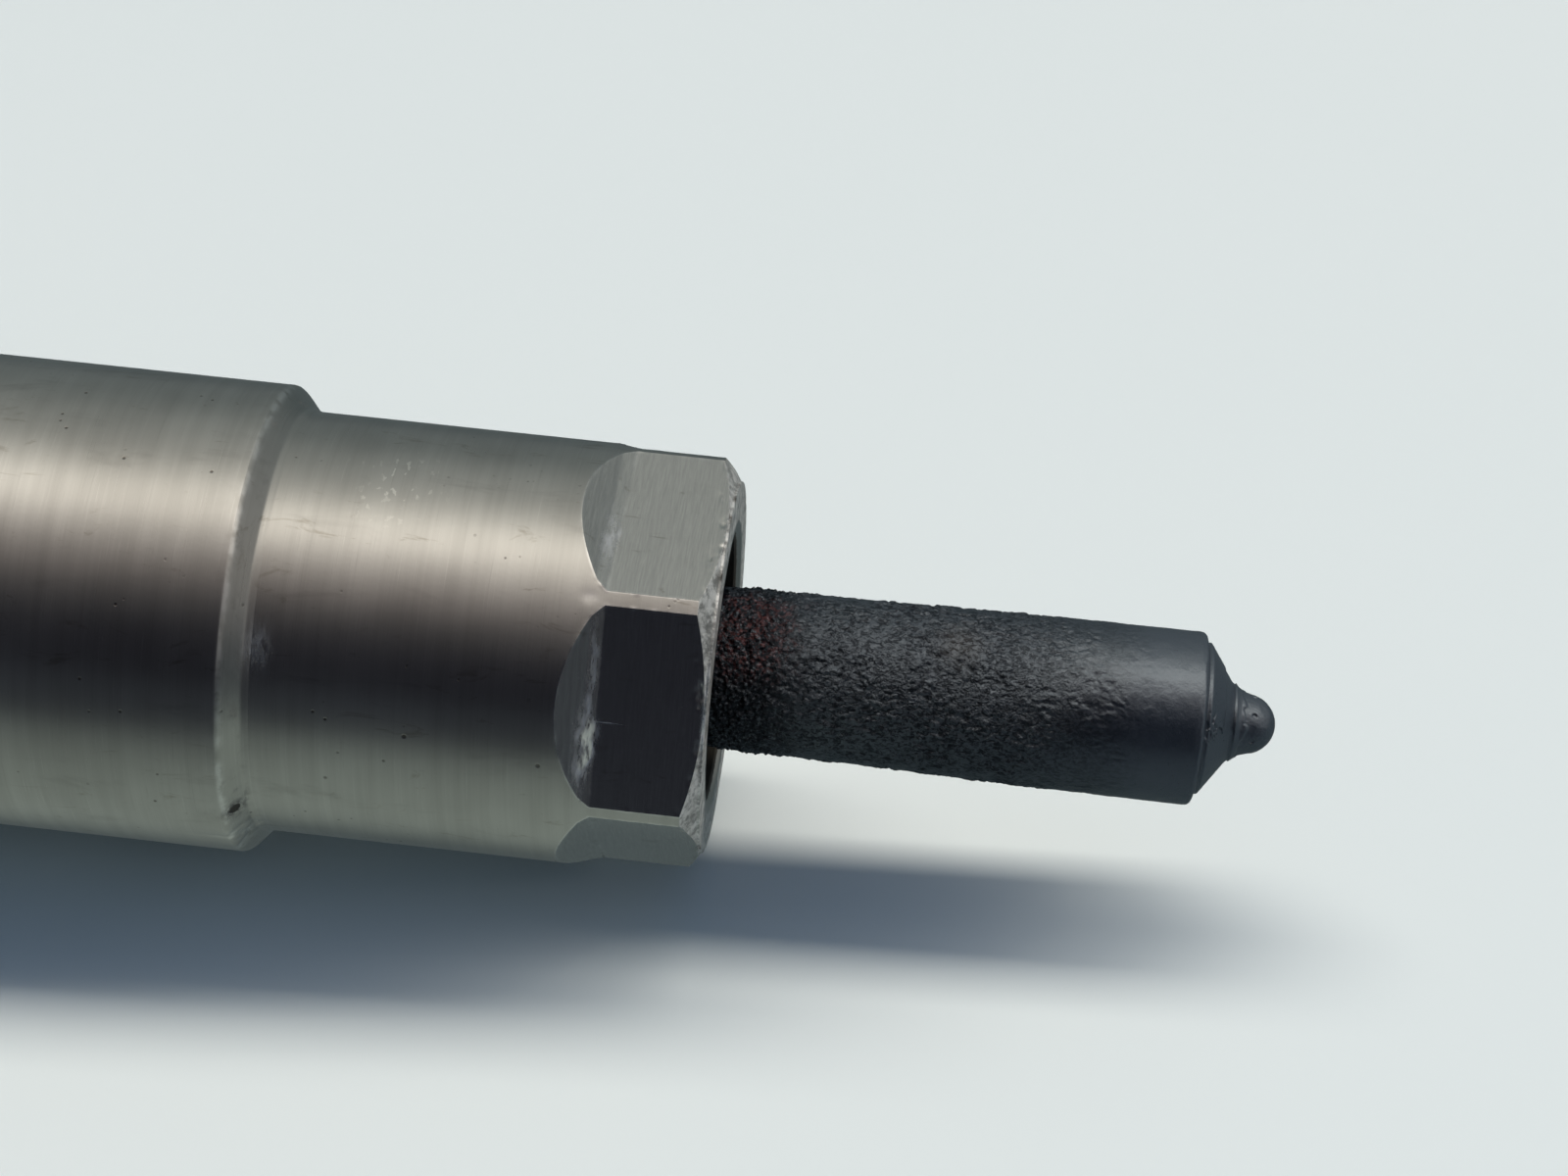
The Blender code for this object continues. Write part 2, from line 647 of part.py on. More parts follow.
def inlet_fitting():
    """A screwed connection: thread into the boss, spanner hexagon, line thread and sealing cone."""
    thread_r, neck_r, pipe_r, bore_r, cone_r = INLET_THREAD_R, 6.2, 7.0, 1.5, 2.9
    hexagon_front, hexagon_rear, hexagon_r, hexagon_flat = 11.4, 7.1, 9.6, 17.0
    top, cone_foot, undercut = 22.5, 19.1, 12.2
    break_r, break_run = 0.6, 0.4
    profile = [
        (cone_r, top),
        (pipe_r - 0.8, top),
        (pipe_r, top - 0.8),
        (pipe_r, undercut + 0.8),
        (neck_r, undercut),
        (neck_r, hexagon_front),
        (hexagon_r - break_r, hexagon_front),
        (hexagon_r, hexagon_front - break_run),
        (hexagon_r, hexagon_rear + break_run + 0.1),
        (hexagon_r - break_r, hexagon_rear),
        (thread_r, hexagon_rear),
        (thread_r, 0.6),
        (thread_r - 0.4, 0.2),
        (bore_r, 0.2),
        (bore_r, cone_foot),
    ]
    fitting = turned("inlet_fitting", profile, FORGED)
    edit = bmesh.new()
    corner_r = hexagon_flat / math.cos(math.radians(30)) / 2
    tall = 60 * MM
    bmesh.ops.create_cone(
        edit, cap_ends=True, segments=6, radius1=corner_r * MM, radius2=corner_r * MM, depth=tall
    )
    hexagon = from_bmesh("inlet_hexagon", edit, CUTTERS)
    combine(fitting, hexagon, "INTERSECT")

    filter_r, land_r, nose_r = 1.15, 1.35, 0.7
    filter_top, filter_foot = 18.5, 1.4
    land_top, land_foot = 16.4, 3.2
    filter_profile = [
        (0, filter_top),
        (nose_r, filter_top),
        (land_r, filter_top - 0.9),
        (land_r, land_top),
        (filter_r, land_top - 0.4),
        (filter_r, land_foot + 0.4),
        (land_r, land_foot),
        (land_r, filter_foot + 0.8),
        (nose_r, filter_foot),
        (0, filter_foot),
    ]
    strainer = turned("edge_filter", filter_profile, GROUND, sides=SMALL_SIDES, closed=False)

    foot = inlet_point(INLET_BOSS_END - INLET_SOCKET_DEPTH)
    way = (inlet_point(1.0) - inlet_point(0.0)).normalized()
    for thing in (fitting, hexagon, strainer):
        thing.location = foot * MM
        thing.rotation_mode = "QUATERNION"
        thing.rotation_quaternion = way.to_track_quat("Z", "Y")


# ---------------------------------------------------------------- control valve


def valve_body():
    """The valve block: the piston's crown runs in its bore and the ball closes the outlet behind it."""
    bore_r, bore_end = CROWN_R + 0.05, -112.5
    nose_r, flange_r, bevel = 4.2, 8.4, 0.3
    seat_r, outlet_r, seat_run = 1.0, 0.3, 0.7
    profile = [
        (bore_r, VALVE_FRONT),
        (nose_r - bevel, VALVE_FRONT),
        (nose_r, VALVE_FRONT - bevel),
        (nose_r, CAVITY_FRONT - GAP),
        (flange_r, CAVITY_FRONT - GAP),
        (flange_r, VALVE_SEAT),
        (seat_r, VALVE_SEAT),
        (outlet_r, VALVE_SEAT + seat_run),
        (outlet_r, bore_end - 0.5),
        (0.9, bore_end),
        (bore_r, bore_end),
    ]
    body = turned("valve_body", profile, GROUND)
    throttle_r, throttle_station = 0.2, Vector((0, 0, bore_end + 0.3))
    way = around(60)
    start, end = way * 1.0 + throttle_station, way * (nose_r + 0.8) + throttle_station
    return combine(body, drill("feed_throttle", start, end, throttle_r, 8))


def valve_clamp_nut():
    front, rear, recess = VALVE_SEAT - GAP, -125.2, -123.2
    hole_r, recess_r, thread_r, bevel = 2.6, 4.4, 8.5, 0.3
    key_circle_r, key_hole_r, key_hole_depth = 6.4, 0.9, 1.8
    profile = [
        (hole_r, front),
        (thread_r - bevel, front),
        (thread_r, front - bevel),
        (thread_r, rear + bevel),
        (thread_r - bevel, rear),
        (recess_r, rear),
        (recess_r, recess),
        (hole_r, recess),
    ]
    nut = turned("valve_clamp_nut", profile, GROUND)
    sockets = []
    for clock in (0, 90, 180, 270):
        spot = around(clock) * key_circle_r
        start = spot + Vector((0, 0, rear + key_hole_depth))
        end = spot + Vector((0, 0, rear - 0.8))
        sockets.append(drill("key_hole", start, end, key_hole_r, 12))
    return combine(nut, joined("key_holes", sockets))


def ball_valve():
    ball_r, ball_station = 0.65, -120.46
    edit = bmesh.new()
    bmesh.ops.create_icosphere(edit, subdivisions=2, radius=ball_r * MM)
    ball = from_bmesh("valve_ball", edit, finish=GROUND)
    ball.location = (0, 0, ball_station * MM)
    carrier_r, front, rear = 1.35, -121.2, -122.4
    carrier_profile = [
        (0, front),
        (carrier_r - 0.15, front),
        (carrier_r, front - 0.15),
        (carrier_r, rear + 0.2),
        (carrier_r - 0.45, rear),
        (0, rear),
    ]
    turned("ball_carrier", carrier_profile, GROUND, sides=SMALL_SIDES, closed=False)


def armature_set():
    pin_way_r, tube_r, flange_r, bevel = 1.4, 2.4, 8.4, 0.3
    nose_r, flange_front, flange_rear, tube_rear = 2.3, -125.3, -126.8, -131.4
    guide_profile = [
        (pin_way_r, ARMATURE_GUIDE_FRONT),
        (nose_r - bevel, ARMATURE_GUIDE_FRONT),
        (nose_r, ARMATURE_GUIDE_FRONT - bevel),
        (nose_r, flange_front),
        (flange_r, flange_front),
        (flange_r, flange_rear),
        (tube_r, flange_rear),
        (tube_r, tube_rear),
        (pin_way_r, tube_rear),
    ]
    guide = turned("armature_guide", guide_profile, IRON)
    port_circle_r, port_r, past = 5.8, 1.2, 0.6
    ports = []
    for clock in (45, 135, 225, 315):
        spot = around(clock) * port_circle_r
        start = spot + Vector((0, 0, flange_front + past))
        end = spot + Vector((0, 0, flange_rear - past))
        ports.append(drill("oil_port", start, end, port_r, 12))
    combine(guide, joined("guide_oil_ports", ports))

    foot_r, foot_front, foot_rear, pin_rear = 1.9, -122.5, -123.6, -137.0
    groove_r, foot_bevel = 1.0, 0.2
    pin_profile = [
        (0, foot_front),
        (foot_r - foot_bevel, foot_front),
        (foot_r, foot_front - foot_bevel),
        (foot_r, foot_rear),
        (PIN_R, foot_rear - 0.2),
        (PIN_R, CLIP_GROOVE_FRONT),
        (groove_r, CLIP_GROOVE_FRONT),
        (groove_r, CLIP_GROOVE_REAR),
        (PIN_R, CLIP_GROOVE_REAR),
        (PIN_R, pin_rear + 0.2),
        (PIN_R - 0.2, pin_rear),
        (0, pin_rear),
    ]
    turned("armature_pin", pin_profile, GROUND, closed=False)

    clip_front, clip_rear = CLIP_GROOVE_FRONT - GAP, CLIP_GROOVE_REAR + GAP
    clip = ring("armature_clip", 1.08, 2.2, clip_front, clip_rear, SPRING_STEEL)
    clip_middle = (clip_front + clip_rear) / 2
    combine(clip, block("clip_mouth", centre=(2.0, 0, clip_middle), size=(4.0, 1.6, 2.0), clock=90))

    plate_r = 7.6
    plate = ring(
        "armature_plate", pin_way_r, plate_r, ARMATURE_PLATE_FRONT, ARMATURE_PLATE_REAR, IRON, bevel=0.2
    )
    plate_middle = (ARMATURE_PLATE_FRONT + ARMATURE_PLATE_REAR) / 2
    slots = []
    for clock in (0, 90, 180, 270):
        slots.append(block("oil_slot", centre=(5.9, 0, plate_middle), size=(2.6, 1.6, 4.0), clock=clock))
    combine(plate, joined("plate_oil_slots", slots))
    coil_spring("armature_spring", mean_r=3.1, wire_r=0.3, front=-126.95, rear=-133.45, turns=3.5)


def electromagnet():
    ring("lift_shim", inner=8.0, outer=11.0, front=-134.1, rear=-135.1, finish=GROUND)

    bore_r, inner_pole_r, outer_pole_r, core_r, slot_floor = 2.6, 4.6, 7.9, 9.9, -145.6
    core_profile = [
        (bore_r, SLEEVE_FRONT),
        (inner_pole_r, SLEEVE_FRONT),
        (inner_pole_r, slot_floor),
        (outer_pole_r, slot_floor),
        (outer_pole_r, SLEEVE_FRONT),
        (core_r, SLEEVE_FRONT),
        (core_r, MAGNET_REAR),
        (bore_r, MAGNET_REAR),
    ]
    core = turned("magnet_core", core_profile, IRON)
    for hole, side in enumerate((-1, 1)):
        spot = terminal_spot(side)
        start, end = spot + Vector((0, 0, slot_floor + 0.6)), spot + Vector((0, 0, MAGNET_REAR - 0.8))
        combine(core, drill(f"terminal_way_{hole}", start, end, TERMINAL_R + 0.35, 12))

    tube_in_r, tube_out_r, cheek_r, cheek = 4.75, 5.4, 7.7, 0.8
    front, rear = -135.6, -145.2
    bobbin_profile = [
        (tube_in_r, front),
        (cheek_r, front),
        (cheek_r, front - cheek),
        (tube_out_r, front - cheek),
        (tube_out_r, rear + cheek),
        (cheek_r, rear + cheek),
        (cheek_r, rear),
        (tube_in_r, rear),
    ]
    turned("coil_bobbin", bobbin_profile, BOBBIN_PLASTIC)
    coil_front, coil_rear = front - cheek - GAP, rear + cheek + GAP
    ring("coil_winding", tube_out_r + GAP, cheek_r - 0.15, coil_front, coil_rear, COPPER)

    coil_spring("valve_spring", mean_r=1.85, wire_r=0.4, front=-137.1, rear=-148.9, turns=5.5)
    shim_front, shim_rear = -149.0, -150.0
    ring("valve_spring_shim", 0.9, 2.45, shim_front, shim_rear, GROUND, sides=SMALL_SIDES)


def solenoid_case():
    lip, lip_r, bore_r = -138.0, 11.3, 10.1
    sleeve_profile = [
        (bore_r, SLEEVE_FRONT),
        (lip_r, SLEEVE_FRONT),
        (lip_r, lip),
        (SLEEVE_R, lip),
        (SLEEVE_R, SLEEVE_REAR + 0.5),
        (SLEEVE_R - 0.4, SLEEVE_REAR),
        (bore_r, SLEEVE_REAR),
    ]
    turned("solenoid_sleeve", sleeve_profile, FORGED, sides=OUTER_SIDES)
    torus("solenoid_o_ring", major=10.68, minor=0.72, station=HEAD_REAR - 1.0, finish=RUBBER)

    corner_r = SOLENOID_NUT_FLAT / 2 / math.cos(math.radians(30))
    full_r, face_r, run = corner_r + 0.15, 13.7, 1.15
    hole_r, collar_r = 11.5, 11.0
    nut_profile = [
        (hole_r, SOLENOID_NUT_FRONT),
        (face_r, SOLENOID_NUT_FRONT),
        (full_r, SOLENOID_NUT_FRONT - run),
        (full_r, SOLENOID_NUT_REAR + run),
        (face_r, SOLENOID_NUT_REAR),
        (collar_r, SOLENOID_NUT_REAR),
        (collar_r, lip - 0.2),
        (hole_r, lip - 0.2),
    ]
    nut = turned("solenoid_nut", nut_profile, STEEL, sides=OUTER_SIDES)
    edit = bmesh.new()
    bmesh.ops.create_cone(
        edit, cap_ends=True, segments=6, radius1=corner_r * MM, radius2=corner_r * MM, depth=30 * MM
    )
    flat_down = Matrix.Rotation(math.radians(30), 4, "Z")
    middle = Matrix.Translation((0, 0, (SOLENOID_NUT_FRONT + SOLENOID_NUT_REAR) / 2 * MM))
    bmesh.ops.transform(edit, matrix=middle @ flat_down, verts=edit.verts)
    combine(nut, from_bmesh("solenoid_hexagon", edit, CUTTERS), "INTERSECT")


# ---------------------------------------------------------------- connector and return line


def terminal_spot(side):
    """Where a terminal runs beside the axis: side is -1 or 1."""
    across = around(CONNECTOR_CLOCK).cross(Vector((0, 0, 1)))
    return around(CONNECTOR_CLOCK) * TERMINAL_RADIUS + across * side * TERMINAL_SPACING / 2


def terminal_route(side, first, reach):
    """Back from the coil, round a quarter bend and out into the connector's socket."""
    outwards = around(CONNECTOR_CLOCK)
    spot = terminal_spot(side)
    bend = 1.6
    centre = spot + outwards * bend + Vector((0, 0, CONNECTOR_STATION + bend))
    route = [spot + Vector((0, 0, first))]
    for step in range(5):
        turn = math.radians(90 * step / 4)
        offset = -outwards * bend * math.cos(turn) - Vector((0, 0, bend * math.sin(turn)))
        route.append(centre + offset)
    route.append(spot + outwards * (reach - TERMINAL_RADIUS) + Vector((0, 0, CONNECTOR_STATION)))
    return route


def connector_housing():
    plug_r, cap_r, pocket_r, bore_r, nipple_r = 9.9, SLEEVE_R, 2.7, 1.5, 3.2
    front, pocket_floor, nipple_depth = -149.4, -150.1, 6.0
    profile = [
        (bore_r, pocket_floor),
        (pocket_r, pocket_floor),
        (pocket_r, front),
        (plug_r - 0.4, front),
        (plug_r, front - 0.4),
        (plug_r, SLEEVE_REAR - 0.1),
        (cap_r, SLEEVE_REAR - 0.1),
        (cap_r, HOUSING_REAR + 1.5),
        (cap_r - 1.5, HOUSING_REAR),
        (nipple_r, HOUSING_REAR),
        (nipple_r, HOUSING_REAR + nipple_depth),
        (bore_r, HOUSING_REAR + nipple_depth),
    ]
    housing = turned("connector_housing", profile, PLASTIC, sides=OUTER_SIDES)
    tower_foot = 4.2
    reach = CONNECTOR_REACH - tower_foot
    tower = block(
        "connector_tower",
        (tower_foot + reach / 2, 0, CONNECTOR_STATION),
        (reach, CONNECTOR_WIDTH, CONNECTOR_DEPTH),
        CONNECTOR_CLOCK,
    )
    soften = tower.modifiers.new("rounded_corners", "BEVEL")
    soften.width = 0.6 * MM
    soften.segments = 2
    combine(housing, tower, "UNION")
    wide, deep = CONNECTOR_WIDTH - 2 * SOCKET_WALL, CONNECTOR_DEPTH - 2 * SOCKET_WALL
    open_run = CONNECTOR_REACH - SOCKET_FLOOR
    mouth = block(
        "connector_socket",
        (SOCKET_FLOOR + open_run / 2 + 1.0, 0, CONNECTOR_STATION),
        (open_run + 2.0, wide, deep),
        CONNECTOR_CLOCK,
    )
    combine(housing, mouth)
    for side, name in ((-1, "terminal_channel_1"), (1, "terminal_channel_2")):
        route = terminal_route(side, -148.0, SOCKET_FLOOR + 1.0)
        combine(housing, wire_cutter(name, route, TERMINAL_R + 0.2))
    return housing


def terminals():
    for number, side in ((1, -1), (2, 1)):
        wire(f"terminal_pin_{number}", terminal_route(side, -145.4, TERMINAL_TIP), TERMINAL_R, TINNED)


def return_nipple():
    barb_r, neck_r, bore_r, root_r, flange_r = 3.6, 2.9, 1.5, 3.0, 4.6
    barbs, pitch = 3, 2.4
    first_barb = NIPPLE_REAR + 0.5
    root, flange_front, flange_rear = HOUSING_REAR + 5.8, HOUSING_REAR - 0.2, HOUSING_REAR - 1.6
    profile = [(bore_r, root), (root_r, root), (root_r, flange_front)]
    profile += [(flange_r, flange_front), (flange_r, flange_rear), (neck_r, flange_rear)]
    for barb in reversed(range(barbs)):
        foot = first_barb + pitch * barb
        profile += [(neck_r, foot + pitch * 0.8), (barb_r, foot + pitch * 0.7), (neck_r, foot)]
    profile += [(neck_r - 0.3, NIPPLE_REAR), (bore_r, NIPPLE_REAR)]
    return turned("return_nipple", profile, TINNED)


# ---------------------------------------------------------------- assembly

nozzle_nut()
nozzle_body()
nozzle_needle()
spacer_plate()
dowel_pins()
nozzle_spring_set()
injector_body()
seal_middle = (SEAL_GROOVE_FRONT + SEAL_GROOVE_REAR) / 2
torus("body_o_ring", major=9.75, minor=1.35, station=seal_middle, finish=RUBBER)
control_piston()
inlet_fitting()
valve_body()
ring("valve_seal_ring", 4.35, 5.7, CAVITY_FRONT + 1.1, CAVITY_FRONT + GAP, TINNED)
valve_clamp_nut()
ball_valve()
armature_set()
electromagnet()
solenoid_case()
connector_housing()
terminals()
return_nipple()

for piece in PARTS.objects:
    if piece.type == "MESH":
        face_smoothly(piece)

# stand the finished injector with the middle of its box over the origin
bpy.context.view_layer.update()
depsgraph = bpy.context.evaluated_depsgraph_get()
spots = []
for piece in PARTS.objects:
    if piece.type in {"MESH", "CURVE"}:
        evaluated = piece.evaluated_get(depsgraph)
        spots += [evaluated.matrix_world @ vertex.co for vertex in evaluated.to_mesh().vertices]
        evaluated.to_mesh_clear()
for side in range(2):
    low = min(spot[side] for spot in spots)
    high = max(spot[side] for spot in spots)
    AXIS.location[side] -= (low + high) / 2
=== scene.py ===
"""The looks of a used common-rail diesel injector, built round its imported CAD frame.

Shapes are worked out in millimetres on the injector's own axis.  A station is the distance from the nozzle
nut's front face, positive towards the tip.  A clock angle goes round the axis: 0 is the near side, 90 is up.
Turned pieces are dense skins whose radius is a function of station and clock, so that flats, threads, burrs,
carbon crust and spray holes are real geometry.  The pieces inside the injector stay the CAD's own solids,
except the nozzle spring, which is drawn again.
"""

import math

import bmesh
import bpy
import numpy as np
from mathutils import Matrix, Vector, noise


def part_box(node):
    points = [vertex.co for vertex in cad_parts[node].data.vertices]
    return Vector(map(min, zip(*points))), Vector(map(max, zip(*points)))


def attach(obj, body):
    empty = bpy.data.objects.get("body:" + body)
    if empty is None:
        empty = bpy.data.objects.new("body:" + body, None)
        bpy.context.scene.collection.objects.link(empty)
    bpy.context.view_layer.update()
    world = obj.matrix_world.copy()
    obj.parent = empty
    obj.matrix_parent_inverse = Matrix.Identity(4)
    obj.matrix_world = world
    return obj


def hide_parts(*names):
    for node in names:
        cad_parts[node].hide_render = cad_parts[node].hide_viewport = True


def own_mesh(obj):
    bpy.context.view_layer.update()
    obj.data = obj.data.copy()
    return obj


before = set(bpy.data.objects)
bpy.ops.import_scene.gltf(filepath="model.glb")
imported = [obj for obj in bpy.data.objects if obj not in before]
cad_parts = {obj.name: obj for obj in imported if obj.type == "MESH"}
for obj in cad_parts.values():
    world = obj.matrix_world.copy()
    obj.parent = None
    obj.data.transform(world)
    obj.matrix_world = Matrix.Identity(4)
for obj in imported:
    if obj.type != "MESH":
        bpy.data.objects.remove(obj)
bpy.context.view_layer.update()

MM = 0.001
FACE_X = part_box("nozzle_nut")[1].x
AXIS_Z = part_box("solenoid_nut")[1].z / 2
INJECTOR_AXIS = Matrix.Translation((FACE_X, 0, AXIS_Z)) @ Matrix.Scale(MM, 4)

# ---------------------------------------------------------------- sizes, millimetres and degrees

# nozzle nut
NUT_R = (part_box("nozzle_nut")[1].z - AXIS_Z) / MM
NECK_R = 8.5
FACE_R = 7.5
MOUTH_R = 5.4
SHOULDER = -18.3
NUT_REAR = -46.5
FLAT_DEPTH = 7.5
FLAT_LENGTH = 4.15
RAMP_FOOT = 4.6
RAMP_END = 5.65
NUT_FINE_END = -6.6
CORNER_CLOCK = 49.3

# nozzle
SHANK_R = 3.48
DOME_R = 1.2
DOME_CENTRE = 20.95
SAC_R = 0.5
NOZZLE_BORE_R = 2.05
SEAT_FRONT = 20.4
SPRAY_HOLES = 7
SPRAY_HOLE_R = 0.09
COLLAR_R = 7.15
COLLAR_FRONT = -8.1
COLLAR_REAR = -24.0
SPRING_FRONT = -30.5
SPRING_REAR = -54.9
SPRING_R = 3.15
SPRING_WIRE_R = 0.6

# injector body, inlet and solenoid end
HEAD_R = 13.0
CLAMP_FLAT = 11.0
CLAMP_FRONT = -109.0
CLAMP_REAR = -117.5
INLET_STATION = -103.5
INLET_LEAN = 30.0
INLET_BOSS_R = 7.6
INLET_BOSS_END = 21.5
FITTING_FOOT = 14.5
SOLENOID_NUT_FLAT = AXIS_Z / MM
HOUSING_REAR = -168.5
CONNECTOR_STATION = -162.5
CONNECTOR_REACH = 31.0
SOCKET_FLOOR = 17.0


# ---------------------------------------------------------------- turned skins


def arc(station, radius, size, first, last, steps):
    """Points along an arc of a profile.  0 degrees points outwards, 90 degrees towards the tip."""
    for step in range(steps + 1):
        angle = math.radians(first + (last - first) * step / steps)
        yield station + size * math.sin(angle), radius + size * math.cos(angle)


def softened(profile, fillet, closed=True):
    """The same outline with every corner rounded to about the fillet radius."""
    count, steps = len(profile), 3
    made = []
    for index, corner in enumerate(profile):
        if not closed and index in (0, count - 1):
            made.append(corner)
            continue
        here = Vector(corner)
        before = Vector(profile[index - 1]) - here
        after = Vector(profile[(index + 1) % count]) - here
        reach = min(fillet, 0.45 * before.length, 0.45 * after.length)
        start, end = here + before.normalized() * reach, here + after.normalized() * reach
        for step in range(steps + 1):
            share = step / steps
            bend = start * (1 - share) ** 2 + here * 2 * share * (1 - share) + end * share**2
            made.append((bend.x, bend.y))
    return made


def refined(profile, step_at, closed=True):
    """More points on the long runs of an outline.

    step_at is the spacing wanted, or a function that gives it at a station and radius.
    """
    rows = []
    follow = profile[1:] + profile[:1] if closed else profile[1:]
    for first, second in zip(profile, follow):
        middle = [(a + b) / 2 for a, b in zip(first, second)]
        step = step_at(*middle) if callable(step_at) else step_at
        pieces = max(1, round(math.dist(first, second) / step))
        for piece in range(pieces):
            share = piece / pieces
            rows.append(tuple(a + (b - a) * share for a, b in zip(first, second)))
    if not closed:
        rows.append(profile[-1])
    return rows


def mesh_object(name, points, faces, finish):
    mesh = bpy.data.meshes.new(name)
    mesh.from_pydata(points, [], faces)
    mesh.update()
    mesh.shade_smooth()
    mesh.materials.append(finish)
    made = bpy.data.objects.new(name, mesh)
    bpy.context.scene.collection.objects.link(made)
    return made


def skin(name, rows, columns, finish, shape=None, poles=None, place=INJECTOR_AXIS, masks=None):
    """A surface turned round an axis.  Its rows run back along the outside from the tip end.

    columns is a number of even columns or a list of their clock angles.  shape(station, clock, radius) may
    change the station and radius of every point.  poles are the stations at which an open outline closes on
    the axis.  masks is a dictionary that shape fills with one value for each point.
    """
    station, radius = (np.array(part)[:, None] for part in zip(*rows))
    even = isinstance(columns, int)
    clock = (np.linspace(0, 360, columns, endpoint=False) if even else np.array(columns))[None, :]
    station, clock, radius = np.broadcast_arrays(station, clock, radius)
    if shape:
        station, radius = shape(station, clock, radius)
    turn = np.radians(clock)
    points = np.stack([station, -np.cos(turn) * radius, np.sin(turn) * radius], -1).reshape(-1, 3)
    index = np.arange(station.size).reshape(station.shape)
    front = index if poles is None else index[:-1]
    back = np.roll(index, -1, 0) if poles is None else index[1:]
    quads = np.stack([front, np.roll(front, -1, 1), np.roll(back, -1, 1), back], -1).reshape(-1, 4)
    faces = quads.tolist()
    points = points.tolist()
    if poles is not None:
        for pole, ring, turned_back in ((poles[0], index[0], False), (poles[1], index[-1], True)):
            points.append((pole, 0, 0))
            for one, other in zip(ring.tolist(), np.roll(ring, -1).tolist()):
                pair = (one, other) if turned_back else (other, one)
                faces.append((len(points) - 1, *pair))
    made = mesh_object(name, points, faces, finish)
    for title, values in (masks or {}).items():
        store = made.data.attributes.new(title, "FLOAT", "POINT")
        spread = np.zeros(len(points), np.float32)
        spread[: station.size] = values.ravel()
        store.data.foreach_set("value", spread)
    made.data.transform(place)
    made.data.update()
    return made


def crisp(piece, angle=32):
    """Flat-looking faces either side of the edges where a plain turned piece really turns."""
    piece.data.set_sharp_from_angle(angle=math.radians(angle))
    return piece


def rides(piece, body, slot, *nodes):
    """The piece moves with a CAD body and stands for some CAD nodes; slot is not used."""
    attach(piece, body)
    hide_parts(*nodes)
    return piece


def around(station, clock, radius, scale=1.0, seed=0.0):
    """Points in millimetres on the turned surface, as vectors for the noise functions."""
    turn = np.radians(clock)
    spots = np.stack([station, -np.cos(turn) * radius, np.sin(turn) * radius], -1).reshape(-1, 3) * scale
    return [Vector(spot) for spot in (spots + seed).tolist()]


def rough(station, clock, radius, scale, octaves=3, seed=0.0):
    """Fractal noise from about -1 to 1 over the turned surface; scale is lumps per millimetre."""
    values = [noise.fractal(spot, 1.0, 2.0, octaves) for spot in around(station, clock, radius, scale, seed)]
    return np.array(values).reshape(station.shape)


def grains(station, clock, radius, scale, seed=0.0):
    """Rounded grains, 0 in the creases to about 1 on the crowns; scale is grains per millimetre."""
    spots = around(station, clock, radius, scale, seed)
    values = [1.0 - noise.voronoi(spot)[0][0] for spot in spots]
    return np.array(values).reshape(station.shape)


def ramp(value, low, high):
    """0 below low, 1 above high and smooth between; low may be the larger."""
    share = np.clip((value - low) / (high - low), 0, 1)
    return share * share * (3 - 2 * share)


def hump(offset, width):
    """A bell: 1 where offset is 0, and about a third at width to either side."""
    return np.exp(-((offset / width) ** 2))


def from_clock(clock, centre):
    """The signed angle from a clock position, -180 to 180."""
    return (clock - centre + 180) % 360 - 180


# ---------------------------------------------------------------- material nodes


class Nodes:
    """Short helpers to wire a node tree."""

    def __init__(self, tree):
        self.tree = tree

    def link(self, source, target):
        if isinstance(source, (int, float)):
            target.default_value = source
        elif isinstance(source, tuple):
            target.default_value = (*source, 1)
        else:
            self.tree.links.new(source, target)

    def math(self, operation, first, second=0.0):
        node = self.tree.nodes.new("ShaderNodeMath")
        node.operation = operation
        self.link(first, node.inputs[0])
        self.link(second, node.inputs[1])
        return node.outputs["Value"]

    def times(self, first, second):
        return self.math("MULTIPLY", first, second)

    def plus(self, first, second):
        return self.math("ADD", first, second)

    def mix(self, factor, first, second):
        node = self.tree.nodes.new("ShaderNodeMix")
        node.data_type = "RGBA"
        self.link(factor, node.inputs["Factor"])
        self.link(first, node.inputs["A"])
        self.link(second, node.inputs["B"])
        return node.outputs["Result"]


